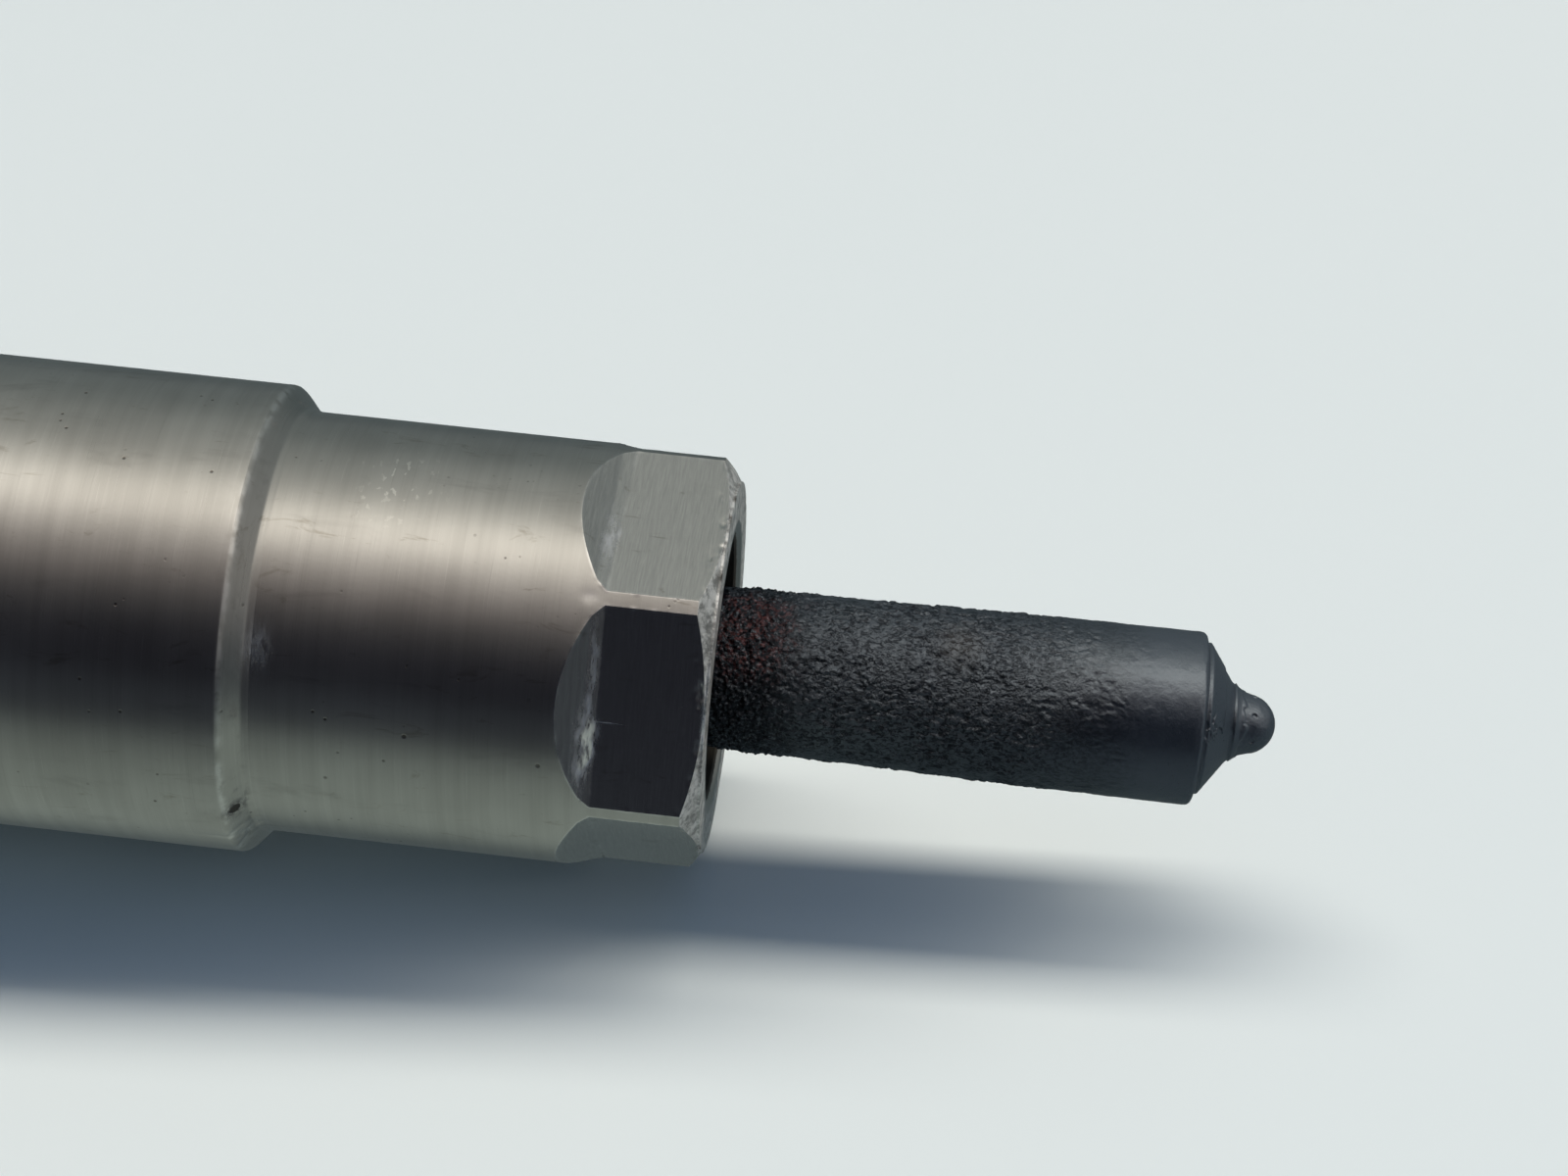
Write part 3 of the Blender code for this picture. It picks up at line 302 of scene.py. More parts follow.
class Shade(Nodes):
    """Short helpers to wire one procedural material."""

    def __init__(self, name, colour, roughness, metallic=0.0, specular=0.5):
        self.made = bpy.data.materials.new(name)
        self.made.use_nodes = True
        super().__init__(self.made.node_tree)
        self.shader = self.tree.nodes["Principled BSDF"]
        self.shader.inputs["Base Color"].default_value = (*colour, 1)
        self.shader.inputs["Roughness"].default_value = roughness
        self.shader.inputs["Metallic"].default_value = metallic
        self.shader.inputs["Specular IOR Level"].default_value = specular
        self.coordinates = self.tree.nodes.new("ShaderNodeTexCoord").outputs["Object"]
        self.bumps = None

    def stretched(self, scale):
        """Object coordinates scaled separately along x, y and z, in cells per metre."""
        mapping = self.tree.nodes.new("ShaderNodeMapping")
        mapping.inputs["Scale"].default_value = scale
        self.link(self.coordinates, mapping.inputs["Vector"])
        return mapping.outputs["Vector"]

    def noise(self, scale, detail=3.0, roughness=0.5, distortion=0.0):
        """Noise from 0 to 1; scale is a number per metre or three numbers for stretched noise."""
        node = self.tree.nodes.new("ShaderNodeTexNoise")
        node.inputs["Detail"].default_value = detail
        node.inputs["Roughness"].default_value = roughness
        node.inputs["Distortion"].default_value = distortion
        if isinstance(scale, tuple):
            node.inputs["Scale"].default_value = 1
            self.link(self.stretched(scale), node.inputs["Vector"])
        else:
            node.inputs["Scale"].default_value = scale
            self.link(self.coordinates, node.inputs["Vector"])
        return node.outputs["Fac"]

    def cells(self, scale):
        """Distance to the nearest of scattered points; scale is their number per metre."""
        node = self.tree.nodes.new("ShaderNodeTexVoronoi")
        node.inputs["Scale"].default_value = scale
        self.link(self.coordinates, node.inputs["Vector"])
        return node.outputs["Distance"]

    def span(self, value, low, high, out_low=0.0, out_high=1.0):
        """Maps low..high to out_low..out_high, smoothly and without overshoot."""
        node = self.tree.nodes.new("ShaderNodeMapRange")
        node.interpolation_type = "SMOOTHSTEP"
        self.link(value, node.inputs["Value"])
        limits = {"From Min": low, "From Max": high, "To Min": out_low, "To Max": out_high}
        for title, number in limits.items():
            node.inputs[title].default_value = number
        return node.outputs["Result"]

    def mask(self, name):
        node = self.tree.nodes.new("ShaderNodeAttribute")
        node.attribute_name = name
        return node.outputs["Fac"]

    def near(self, station, clock, radius, reach):
        """1 at a spot on the injector, falling to 0 at reach millimetres from it."""
        turn = math.radians(clock)
        spot = (
            FACE_X + station * MM,
            -math.cos(turn) * radius * MM,
            AXIS_Z + math.sin(turn) * radius * MM,
        )
        node = self.tree.nodes.new("ShaderNodeVectorMath")
        node.operation = "DISTANCE"
        self.link(self.coordinates, node.inputs[0])
        node.inputs[1].default_value = spot
        return self.span(node.outputs["Value"], 0.0, reach * MM, 1.0, 0.0)

    def bump(self, height, depth):
        """Adds relief: height 0 to 1 stands for depth metres."""
        node = self.tree.nodes.new("ShaderNodeBump")
        node.inputs["Distance"].default_value = depth
        self.link(height, node.inputs["Height"])
        if self.bumps is not None:
            self.link(self.bumps, node.inputs["Normal"])
        self.bumps = node.outputs["Normal"]

    def done(self, colour=None, roughness=None, metallic=None):
        for title, value in (("Base Color", colour), ("Roughness", roughness), ("Metallic", metallic)):
            if value is not None:
                self.link(value, self.shader.inputs[title])
        if self.bumps is not None:
            self.link(self.bumps, self.shader.inputs["Normal"])
        return self.made


# ---------------------------------------------------------------- metals


def nut_steel():
    """Turned steel with milled flats, dulled by heat and handling: rings, streaks, pits and bright edges."""
    shade = Shade("turned_nut_steel", (0.5, 0.49, 0.46), 0.3, 1.0)
    rings = shade.noise((14000, 120, 120), 4, 0.65)
    bands = shade.noise((1900, 25, 25), 3, 0.6)
    clouds = shade.noise(130, 3, 0.6)
    grain = shade.noise(5200, 2, 0.6)
    on_flat = shade.mask("flat")
    on_rim = shade.mask("rim")
    wear = shade.mask("wear")
    tone = shade.plus(shade.times(bands, 0.35), shade.times(clouds, 0.65))
    tone = shade.span(tone, 0.34, 0.66)
    colour = shade.mix(tone, (0.44, 0.43, 0.40), (0.55, 0.54, 0.505))
    streaks = shade.noise((17000, 260, 260), 4, 0.7)
    colour = shade.mix(shade.span(streaks, 0.40, 0.30, 0.0, 0.30), colour, (0.30, 0.29, 0.27))
    colour = shade.mix(shade.span(streaks, 0.60, 0.70, 0.0, 0.35), colour, (0.68, 0.67, 0.63))
    smears = shade.noise((160, 520, 520), 4, 0.65, 0.5)
    colour = shade.mix(shade.span(smears, 0.56, 0.74, 0.0, 0.35), colour, (0.27, 0.26, 0.24))
    cutter_marks = shade.noise((15000, 800, 800), 4, 0.7, 0.2)
    flat_tone = shade.mix(shade.span(cutter_marks, 0.30, 0.70), (0.51, 0.51, 0.49), (0.62, 0.62, 0.59))
    colour = shade.mix(on_flat, colour, flat_tone)
    wide_pits = shade.times(shade.span(shade.cells(620), 0.075, 0.035), shade.span(clouds, 0.50, 0.58))
    tiny_pits = shade.span(shade.cells(1900), 0.16, 0.08)
    tiny_pits = shade.times(tiny_pits, shade.span(shade.noise(700, 2), 0.58, 0.66))
    pits = shade.math("MAXIMUM", wide_pits, tiny_pits)
    pits = shade.times(pits, shade.span(on_flat, 0.0, 1.0, 1.0, 0.15))
    colour = shade.mix(shade.times(pits, 0.75), colour, (0.09, 0.075, 0.06))
    tarnish = shade.span(shade.noise((300, 900, 900), 4, 0.7, 1.2), 0.60, 0.72)
    colour = shade.mix(shade.times(tarnish, 0.4), colour, (0.22, 0.19, 0.14))
    scuffed = shade.times(wear, shade.span(shade.noise(1700, 3), 0.30, 0.55))
    colour = shade.mix(scuffed, colour, (0.80, 0.79, 0.76))
    dragged = shade.noise((7500, 1700, 1700), 4, 0.7)
    on_scrape = shade.mask("scrape")
    hairlines = shade.span(shade.noise((420, 5600, 5600), 1), 0.69, 0.76, 0.0, 0.45)
    hairlines = shade.times(hairlines, shade.near(-3.4, 20, 7.8, 2.6))
    scraped = shade.times(on_scrape, shade.span(dragged, 0.30, 0.60))
    scraped = shade.math("MAXIMUM", scraped, hairlines)
    bare = shade.mix(shade.span(on_scrape, 0.45, 0.85), (0.56, 0.59, 0.66), (0.78, 0.78, 0.66))
    colour = shade.mix(scraped, colour, bare)
    rim_patches = shade.span(shade.noise(1900, 4, 0.75), 0.38, 0.60)
    rim_tone = shade.mix(rim_patches, (0.20, 0.20, 0.19), (0.82, 0.81, 0.78))
    colour = shade.mix(shade.times(on_rim, 0.8), colour, rim_tone)
    ticks = shade.times(shade.near(-12.9, 77.5, NECK_R, 2.8), shade.span(shade.noise(900), 0.40, 0.55))
    ticks = shade.times(ticks, shade.span(shade.noise((4200, 1500, 7000), 2), 0.60, 0.66))
    colour = shade.mix(shade.times(ticks, 0.65), colour, (0.92, 0.90, 0.84))
    crust = shade.mask("grime")
    patchy = shade.span(shade.noise(2600, 3, 0.7), 0.35, 0.62)
    grimy = shade.math("MAXIMUM", shade.times(crust, patchy), shade.span(crust, 0.9, 0.98))
    colour = shade.mix(grimy, colour, (0.05, 0.045, 0.036))
    rough_tone = shade.plus(shade.times(rings, 0.10), shade.times(clouds, 0.08))
    roughness = shade.plus(rough_tone, shade.span(on_flat, 0.0, 1.0, 0.21, 0.15))
    roughness = shade.plus(roughness, shade.times(grimy, 0.3))
    shade.bump(shade.times(rings, shade.span(on_flat, 0.2, 0.8, 1.0, 0.0)), 0.0000045)
    shade.bump(grain, 0.0000015)
    shade.bump(shade.times(cutter_marks, on_flat), 0.0000022)
    pocked = shade.noise(2700, 4, 0.75)
    shade.bump(shade.times(pocked, on_rim), 0.00007)
    shade.bump(shade.math("SUBTRACT", 1.0, pits), 0.000008)
    roughness = shade.plus(roughness, shade.times(scraped, 0.25))
    metallic = shade.times(shade.span(grimy, 0.0, 1.0, 1.0, 0.35), shade.span(scraped, 0.0, 1.0, 1.0, 0.25))
    metallic = shade.times(metallic, shade.span(on_rim, 0.0, 1.0, 1.0, 0.6))
    return shade.done(colour, roughness, metallic)


def nozzle_crust():
    """Hardened steel under baked carbon: charcoal flakes, reddish scale at the root and a smoother end."""
    shade = Shade("carbon_crusted_nozzle", (0.02, 0.02, 0.025), 0.42, 0.0, 1.0)
    shade.shader.inputs["IOR"].default_value = 1.9
    shade.shader.inputs["Specular Tint"].default_value = (0.80, 0.91, 1.0, 1)
    heavy = shade.mask("crust")
    rust = shade.mask("rust")
    fine = shade.noise(9000, 3, 0.7)
    flakes = shade.noise((4200, 6400, 6400), 4, 0.7, 0.8)
    grit = shade.cells(9500)
    clouds = shade.noise(330, 3, 0.6)
    tone = shade.plus(shade.times(flakes, 0.6), shade.times(clouds, 0.4))
    colour = shade.mix(shade.span(tone, 0.36, 0.66), (0.0025, 0.003, 0.006), (0.009, 0.010, 0.016))
    dusty = shade.times(shade.span(fine, 0.62, 0.76), shade.span(heavy, 0.0, 1.0, 0.1, 0.5))
    colour = shade.mix(dusty, colour, (0.04, 0.042, 0.052))
    colour = shade.mix(shade.span(heavy, 0.05, 0.45), (0.019, 0.023, 0.032), colour)
    scaled = shade.times(rust, shade.span(shade.noise(5200, 3, 0.7), 0.46, 0.60))
    colour = shade.mix(scaled, colour, (0.095, 0.026, 0.024))
    brown = shade.times(shade.near(9.3, 68, 3.4, 1.5), shade.span(clouds, 0.35, 0.6))
    colour = shade.mix(shade.times(brown, 0.4), colour, (0.05, 0.034, 0.022))
    rough_base = shade.plus(shade.times(flakes, 0.16), 0.22)
    roughness = shade.plus(rough_base, shade.times(heavy, 0.08))
    glints = shade.span(shade.noise(6800, 3, 0.75), 0.50, 0.60, 0.85, 0.0)
    pitted = shade.times(heavy, shade.span(flakes, 0.56, 0.42, 0.0, 0.75))
    hollows = shade.math("MAXIMUM", pitted, shade.times(shade.mask("root"), glints))
    shade.bump(shade.times(flakes, shade.span(heavy, 0.0, 1.0, 0.05, 1.0)), 0.00006)
    shade.bump(shade.times(grit, shade.span(heavy, 0.0, 1.0, 0.08, -0.8)), 0.00003)
    shade.bump(fine, 0.000012)
    return shade.done(colour, roughness, hollows)


def plated_forging():
    """The forged and plated body: a fine blasted grain, faint turning and small dark nicks."""
    shade = Shade("plated_forging", (0.45, 0.45, 0.42), 0.38, 1.0)
    grain = shade.noise(3600, 3, 0.65)
    clouds = shade.noise(95, 3, 0.6)
    rings = shade.noise((6000, 60, 60), 3, 0.6)
    colour = shade.mix(shade.span(clouds, 0.35, 0.65), (0.36, 0.36, 0.33), (0.50, 0.495, 0.46))
    nicks = shade.times(shade.span(shade.cells(420), 0.12, 0.06), shade.span(clouds, 0.5, 0.62))
    colour = shade.mix(shade.times(nicks, 0.7), colour, (0.10, 0.09, 0.08))
    roughness = shade.span(grain, 0.3, 0.7, 0.30, 0.46)
    shade.bump(grain, 0.000012)
    shade.bump(rings, 0.000006)
    return shade.done(colour, roughness)


def ground_metal(name, dark, light, low_rough, high_rough, metallic=1.0):
    """Ground or drawn metal: fine rings round the axis over slow clouds of tone."""
    shade = Shade(name, dark, low_rough, metallic)
    rings = shade.noise((9000, 90, 90), 4, 0.6)
    clouds = shade.noise(240, 3, 0.55)
    tone = shade.plus(shade.times(rings, 0.5), shade.times(clouds, 0.5))
    colour = shade.mix(shade.span(tone, 0.38, 0.62), dark, light)
    shade.bump(rings, 0.000003)
    return shade.done(colour, shade.span(rings, 0.3, 0.7, low_rough, high_rough))


def copper_winding():
    """Enamelled wire wound in even turns: the turns are relief along the axis, with painted shade in the
    grooves.
    """
    shade = Shade("enamelled_winding", (0.6, 0.24, 0.09), 0.3, 1.0)
    wave = shade.tree.nodes.new("ShaderNodeTexWave")
    wave.bands_direction = "X"
    wave.inputs["Scale"].default_value = 700
    wave.inputs["Distortion"].default_value = 0.4
    shade.link(shade.coordinates, wave.inputs["Vector"])
    turns = wave.outputs["Fac"]
    shade.bump(turns, 0.00008)
    # painted shade: the copper is darker down in the grooves between the turns, following the relief
    colour = shade.mix(turns, (0.25, 0.08, 0.03), (0.68, 0.30, 0.12))
    return shade.done(colour, shade.span(shade.noise(900), 0.3, 0.7, 0.24, 0.4))


# ---------------------------------------------------------------- rubber and plastic


def rubber():
    """Dull green-black seal rubber with a fine skin."""
    shade = Shade("seal_rubber", (0.02, 0.035, 0.03), 0.55, 0.0, 0.4)
    skin_grain = shade.noise(4200, 3, 0.6)
    clouds = shade.noise(180, 2)
    colour = shade.mix(shade.span(clouds, 0.35, 0.65), (0.012, 0.026, 0.022), (0.03, 0.05, 0.042))
    shade.bump(skin_grain, 0.00001)
    return shade.done(colour, shade.span(skin_grain, 0.3, 0.7, 0.42, 0.62))


def plastic(name, dark, light, relief):
    """Glass-filled moulding: a spark-eroded grain, faint flow clouds and a little dust."""
    shade = Shade(name, dark, 0.45, 0.0, 0.45)
    grain = shade.noise(2600, 3, 0.6)
    flow = shade.noise((90, 60, 160), 3, 0.6, 0.8)
    dust = shade.times(shade.span(shade.noise(1500, 2), 0.60, 0.72), 0.25)
    colour = shade.mix(shade.span(flow, 0.35, 0.65), dark, light)
    colour = shade.mix(dust, colour, tuple(channel * 2 + 0.03 for channel in light))
    shade.bump(grain, relief)
    return shade.done(colour, shade.span(grain, 0.3, 0.7, 0.36, 0.52))


FINISH = {
    "nut_steel": nut_steel(),
    "nozzle_steel": nozzle_crust(),
    "ground_steel": ground_metal("ground_steel_fine", (0.50, 0.50, 0.50), (0.66, 0.66, 0.65), 0.16, 0.27),
    "spring_steel": ground_metal("spring_wire", (0.20, 0.20, 0.22), (0.34, 0.34, 0.36), 0.26, 0.40),
    "body_steel": plated_forging(),
    "soft_iron": ground_metal("soft_iron_grey", (0.22, 0.22, 0.23), (0.33, 0.33, 0.34), 0.36, 0.50),
    "copper_winding": copper_winding(),
    "tinned_brass": ground_metal("tinned_brass_dull", (0.62, 0.58, 0.50), (0.80, 0.77, 0.70), 0.22, 0.34),
    "rubber": rubber(),
    "black_plastic": plastic("moulded_black", (0.010, 0.010, 0.011), (0.020, 0.020, 0.022), 0.00002),
    "bobbin_plastic": plastic("moulded_bobbin", (0.30, 0.25, 0.18), (0.40, 0.34, 0.25), 0.00001),
}

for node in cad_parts.values():
    for place in node.material_slots:
        place.material = FINISH[place.material.name]


# ---------------------------------------------------------------- nozzle nut


def nut_step(station, radius):
    """Row spacing of the nut's skin: fine over the flats and the shoulder, coarse where it is plain."""
    if station > NUT_FINE_END and radius > MOUTH_R:
        return 0.06
    if SHOULDER - 0.6 < station < SHOULDER + 1.4 and radius > NECK_R - 0.1:
        return 0.09
    return 0.45 if station > SHOULDER else 1.2


def flat_depth(station):
    """How far a milled flat and its run-out ramp lie from the axis, straight across, at a station."""
    return np.interp(
        -station,
        [FLAT_LENGTH, RAMP_FOOT, RAMP_END, RAMP_END + 2.4],
        [FLAT_DEPTH, FLAT_DEPTH + 0.2, NECK_R, NECK_R + 2.0],
    )


def nozzle_nut():
    chamfer_start, chamfer_slope = -0.1, math.tan(math.radians(30))
    chamfer_end = chamfer_start - (NECK_R - FACE_R) * chamfer_slope
    outside = [
        (-0.25, MOUTH_R), (0, MOUTH_R + 0.25), (0, FACE_R), (chamfer_start, FACE_R),
        (chamfer_end, NECK_R), (-RAMP_END, NECK_R), (NUT_FINE_END, NECK_R),
    ]
    shoulder = [
        (SHOULDER + 1.0, NECK_R), (SHOULDER + 0.72, NECK_R + 0.12), (SHOULDER + 0.08, NUT_R - 0.12),
        (SHOULDER - 0.08, NUT_R), (NUT_REAR + 0.6, NUT_R), (NUT_REAR, NUT_R - 0.6), (NUT_REAR, 8.4),
        (NUT_REAR + 0.4, 8.0), (-29.2, 8.0), (-28.9, 8.3), (-25.2, 8.3), (COLLAR_REAR - 0.2, 7.3),
        (-8.0, 7.3), (-8.0, MOUTH_R),
    ]
    land_edge = math.degrees(math.acos(FLAT_DEPTH / NECK_R))
    over_flat = np.linspace(-land_edge, land_edge, 128, endpoint=False)
    over_land = np.linspace(land_edge, 60 - land_edge, 10, endpoint=False)
    turns = (*over_flat, *over_land)
    columns = [CORNER_CLOCK + 30 + 60 * side + turn for side in range(6) for turn in turns]
    masks = {}

    def shape(station, clock, radius):
        offset = (clock - CORNER_CLOCK) % 60 - 30
        across = np.cos(np.radians(np.minimum(np.abs(offset), land_edge)))
        outer = (radius > MOUTH_R + 0.3) & (station > -9)

        # rows slide along the nut so that the chamfer and the ramps end on whole rows
        chamfer_line = chamfer_start - (FLAT_DEPTH / across - FACE_R) * chamfer_slope
        depths = [FLAT_DEPTH, FLAT_DEPTH + 0.2, NECK_R]
        ramp_line = -np.interp(NECK_R * across, depths, [FLAT_LENGTH, RAMP_FOOT, RAMP_END])
        on_chamfer = (station - chamfer_start) / (chamfer_end - chamfer_start)
        on_side = (station - chamfer_end) / (-RAMP_END - chamfer_end)
        on_neck = (station + RAMP_END) / (NUT_FINE_END + RAMP_END)
        chamfer_row = chamfer_start + on_chamfer * (chamfer_line - chamfer_start)
        moved = np.where(station > chamfer_end, chamfer_row, 0)
        moved = np.where(station <= chamfer_end, chamfer_line + on_side * (ramp_line - chamfer_line), moved)
        moved = np.where(station <= -RAMP_END, ramp_line + on_neck * (NUT_FINE_END - ramp_line), moved)
        moves = outer & (station <= chamfer_start) & (station >= NUT_FINE_END)
        station = np.where(moves, moved, station)
        turned_r = np.minimum(FACE_R + (chamfer_start - station) / chamfer_slope, NECK_R)
        flat = np.where(outer, flat_depth(station) / np.cos(np.radians(offset)), radius + 5)
        radius = np.where(moves, np.minimum(turned_r, flat), radius)

        # tool marks, knocks and wear
        wander = rough(station, clock, radius, 0.8, 2, seed=3.1)
        knocks = rough(station * 2.2, clock, radius, 0.9, 3, seed=7.7)
        milled = moves & (flat <= turned_r + 0.0001)
        on_ramp = milled & (station < -FLAT_LENGTH)
        ridges = np.sin((station + 0.12 * wander) * 2 * math.pi / 0.27)
        edge_gap = np.where(outer, np.abs(flat - turned_r), 9)
        worn_edge = hump(edge_gap, 0.035) * moves
        front_land = outer * (1 - ramp(-station, 0.0, 0.25)) * (radius > FACE_R - 1.6)
        chamfered = outer & ~milled & (station > chamfer_line) & (radius > FACE_R - 0.1)
        foot_line = milled * hump(-station - FLAT_LENGTH, 0.07)
        at_corner = from_clock(clock, CORNER_CLOCK)
        corner_nick = hump(station + 4.75, 0.3) * hump(at_corner, 1.8)
        rim_knocks = hump(station + 0.2, 0.35) * ramp(knocks, 0.1, 0.8) * outer
        corner = hump(station - SHOULDER - 0.02, 0.12) * (radius > NECK_R - 0.1)
        cone = ramp(station, SHOULDER - 0.1, SHOULDER + 0.1) * ramp(station, SHOULDER + 1.0, SHOULDER + 0.7)
        dented = hump(station - SHOULDER - 0.2, 0.7) * hump(from_clock(clock, -37), 7)
        scuff = hump(station - SHOULDER - 1.2, 0.5) * hump(from_clock(clock, 27), 6)
        scrape_line = station + 4.5 - 0.25 * wander
        scraped = hump(scrape_line, 0.28) * hump(from_clock(clock, 8), 9)
        streaked = hump(scrape_line - 0.1, 0.16) * hump(from_clock(clock, 29), 12)
        brushed = hump(scrape_line, 0.3) * hump(from_clock(clock, 70), 10)
        masks["flat"] = 1.0 * milled
        masks["wear"] = np.clip(
            0.6 * worn_edge * ramp(knocks, -0.6, 0.3)
            + 0.7 * front_land * ramp(knocks, -0.5, 0.3)
            + 0.45 * chamfered * ramp(knocks, -0.2, 0.5)
            + 0.55 * foot_line * ramp(knocks, -0.2, 0.5)
            + 0.8 * corner_nick
            + 0.8 * corner * ramp(knocks, -0.5, 0.3)
            + 0.85 * dented * ramp(knocks, -0.5, 0.4),
            0,
            1,
        )
        rubbed = 1.2 * scraped + 0.55 * streaked + 0.4 * brushed
        masks["scrape"] = np.clip(rubbed * milled + 0.45 * scuff, 0, 1)
        bore = (radius < MOUTH_R + 0.12) & (station > -9)
        stain = hump(station - SHOULDER - 0.35, 0.34) * hump(from_clock(clock, -21), 2.8)
        rim_dirt = 0.5 * (front_land + chamfered) * ramp(wander, 0.0, 0.6)
        masks["rim"] = np.clip(front_land + chamfered, 0, 1) * (radius > MOUTH_R + 0.3)
        cone_dirt = 0.3 * cone * ramp(knocks, 0.2, 0.7)
        masks["grime"] = np.clip(bore + 1.25 * stain + cone_dirt + rim_dirt, 0, 1)
        lowered = 0.02 * corner_nick + 0.09 * rim_knocks + 0.10 * dented * ramp(knocks, -0.3, 0.4)
        raised = 0.004 * on_ramp * ridges + 0.012 * worn_edge * ramp(knocks, 0.1, 0.7)
        return station, radius + raised - lowered

    profile = softened(outside[:4], 0.06, closed=False) + outside[4:] + softened(shoulder, 0.07, closed=False)
    rows = refined(profile, nut_step)
    piece = skin("nozzle_nut_skin", rows, columns, FINISH["nut_steel"], shape, masks=masks)
    crisp(piece, 12)
    rides(piece, "injector", "nut_steel", "nozzle_nut")


# ---------------------------------------------------------------- nozzle


def nozzle_step(station, radius):
    """Row spacing of the nozzle's skin: fine outside the nut, where the carbon is, coarse in the bore."""
    return 0.048 if station > -1.0 and (radius > NOZZLE_BORE_R + 0.05 or station > SEAT_FRONT) else 0.6


def nozzle_body():
    outside = [
        *list(arc(DOME_CENTRE, 0, DOME_R, 88, 8, 14)),
        (DOME_CENTRE - 0.3, DOME_R + 0.12), (DOME_CENTRE - 0.68, DOME_R + 0.42), (19.30, 3.0),
        (19.16, 3.0), (19.10, 3.16),
        *list(arc(18.75, SHANK_R - 0.42, 0.42, 50, 0, 6)),
        (12.0, SHANK_R - 0.05), (5.0, 3.30), (-1.0, 3.29), (-7.3, 3.28), (COLLAR_FRONT, 3.9),
        (COLLAR_FRONT, COLLAR_R - 0.2), (COLLAR_FRONT - 0.2, COLLAR_R), (COLLAR_REAR, COLLAR_R),
    ]
    inside = [
        (COLLAR_REAR, 2.0), (-17.5, 2.0), (-16.9, 2.9), (-13.1, 2.9), (-12.5, NOZZLE_BORE_R),
        (17.7, NOZZLE_BORE_R), (SEAT_FRONT, SAC_R), (DOME_CENTRE, SAC_R),
        *list(arc(DOME_CENTRE, 0, SAC_R, 0, 86, 5))[1:],
    ]
    masks = {}

    def shape(station, clock, radius):
        outer = radius > np.where(station > SEAT_FRONT, SAC_R + 0.02, NOZZLE_BORE_R + 0.05)
        skin_side = outer & (station > -1.5)
        shank = ramp(station, 18.9, 18.6)
        heavy = ramp(station, -0.6, 0.3) * (0.35 + 0.65 * ramp(station, 15.5, 10.5))
        root = ramp(station, 4.6, 1.6)
        top = ramp(from_clock(clock, 66) + 14 * rough(station, clock, radius, 1.1, 2, seed=8.8), 42, 20)
        top = top * ramp(from_clock(clock, 66), -48, -26)
        lumps = rough(station, clock, radius, 1.6, 3, seed=1.3)
        creases = np.abs(rough(station * 0.8 + 0.15 * lumps, clock, radius, 2.2, 3, seed=5.9))
        flakes = 0.6 - np.clip(creases * 2.4, 0, 1.2)
        gritty = grains(station, clock, radius, 4.4, seed=9.4) - 0.55
        patches = ramp(rough(station, clock, radius, 0.8, 2, seed=4.2), -0.5, 0.3)
        smooth_end = ramp(station, 17.9, 15.0)
        crusted = 0.012 * lumps - 0.085 * flakes * heavy * smooth_end * (1 - 0.8 * root) * patches
        crusted = crusted + 0.085 * gritty * heavy * (0.5 * patches + 1.8 * root) * smooth_end
        crusted = crusted + 0.06 * root * ramp(lumps, -0.2, 0.6) * heavy
        waist = 0.07 * ramp(station, 5.0, 0.0)
        grow = shank * (crusted - waist)

        # the cone keeps a ragged plate of carbon on its upper side, and a broken ring of it by the dome
        cone = ramp(station, 19.05, 19.25) * ramp(station, 20.55, 20.3)
        off_plate = from_clock(clock, 62)
        plate = ramp(off_plate + 18 * lumps, 75, 66) * ramp(off_plate + 20 * flakes, -38, -30)
        ragged = 20.35 + 0.22 * lumps + 0.1 * np.sin(np.radians(3 * clock + 40))
        collar = ramp(station, 19.9, 20.1) * ramp(station, ragged + 0.42, ragged + 0.32)
        grow = grow + cone * 0.075 * plate + 0.07 * collar * ramp(from_clock(clock, 15), 120, 90)
        dome = ramp(station, 20.5, 20.8)
        grow = grow + dome * (0.012 * lumps + 0.008 * flakes)
        lip = hump(station - 18.98 - 0.07 * lumps, 0.09)
        grow = grow + 0.03 * lip

        # spray holes leave the dome round a ring, all but choked with carbon
        for hole in range(SPRAY_HOLES):
            turn = from_clock(clock, 360 / SPRAY_HOLES * hole)
            aside = np.radians(turn) * radius
            along = station - (DOME_CENTRE + 0.24)
            inside_hole = ramp(np.hypot(aside, along), SPRAY_HOLE_R + 0.03, SPRAY_HOLE_R - 0.01)
            grow = grow - 0.05 * inside_hole * (station > 20.6)

        masks["crust"] = np.clip(shank * heavy * smooth_end, 0, 1) * skin_side
        masks["root"] = root * skin_side
        masks["rust"] = ramp(station + 0.8 * lumps, 3.4, 1.2) * top * ramp(station, -0.4, 0.2) * skin_side
        return station, radius + np.where(skin_side, grow, 0)

    rows = refined(softened(outside + inside, 0.05, closed=False), nozzle_step, closed=False)
    poles = (DOME_CENTRE + DOME_R, DOME_CENTRE + SAC_R)
    piece = skin("nozzle_body_skin", rows, 450, FINISH["nozzle_steel"], shape, poles, masks=masks)
    rides(piece, "injector", "nozzle_steel", "nozzle_body")


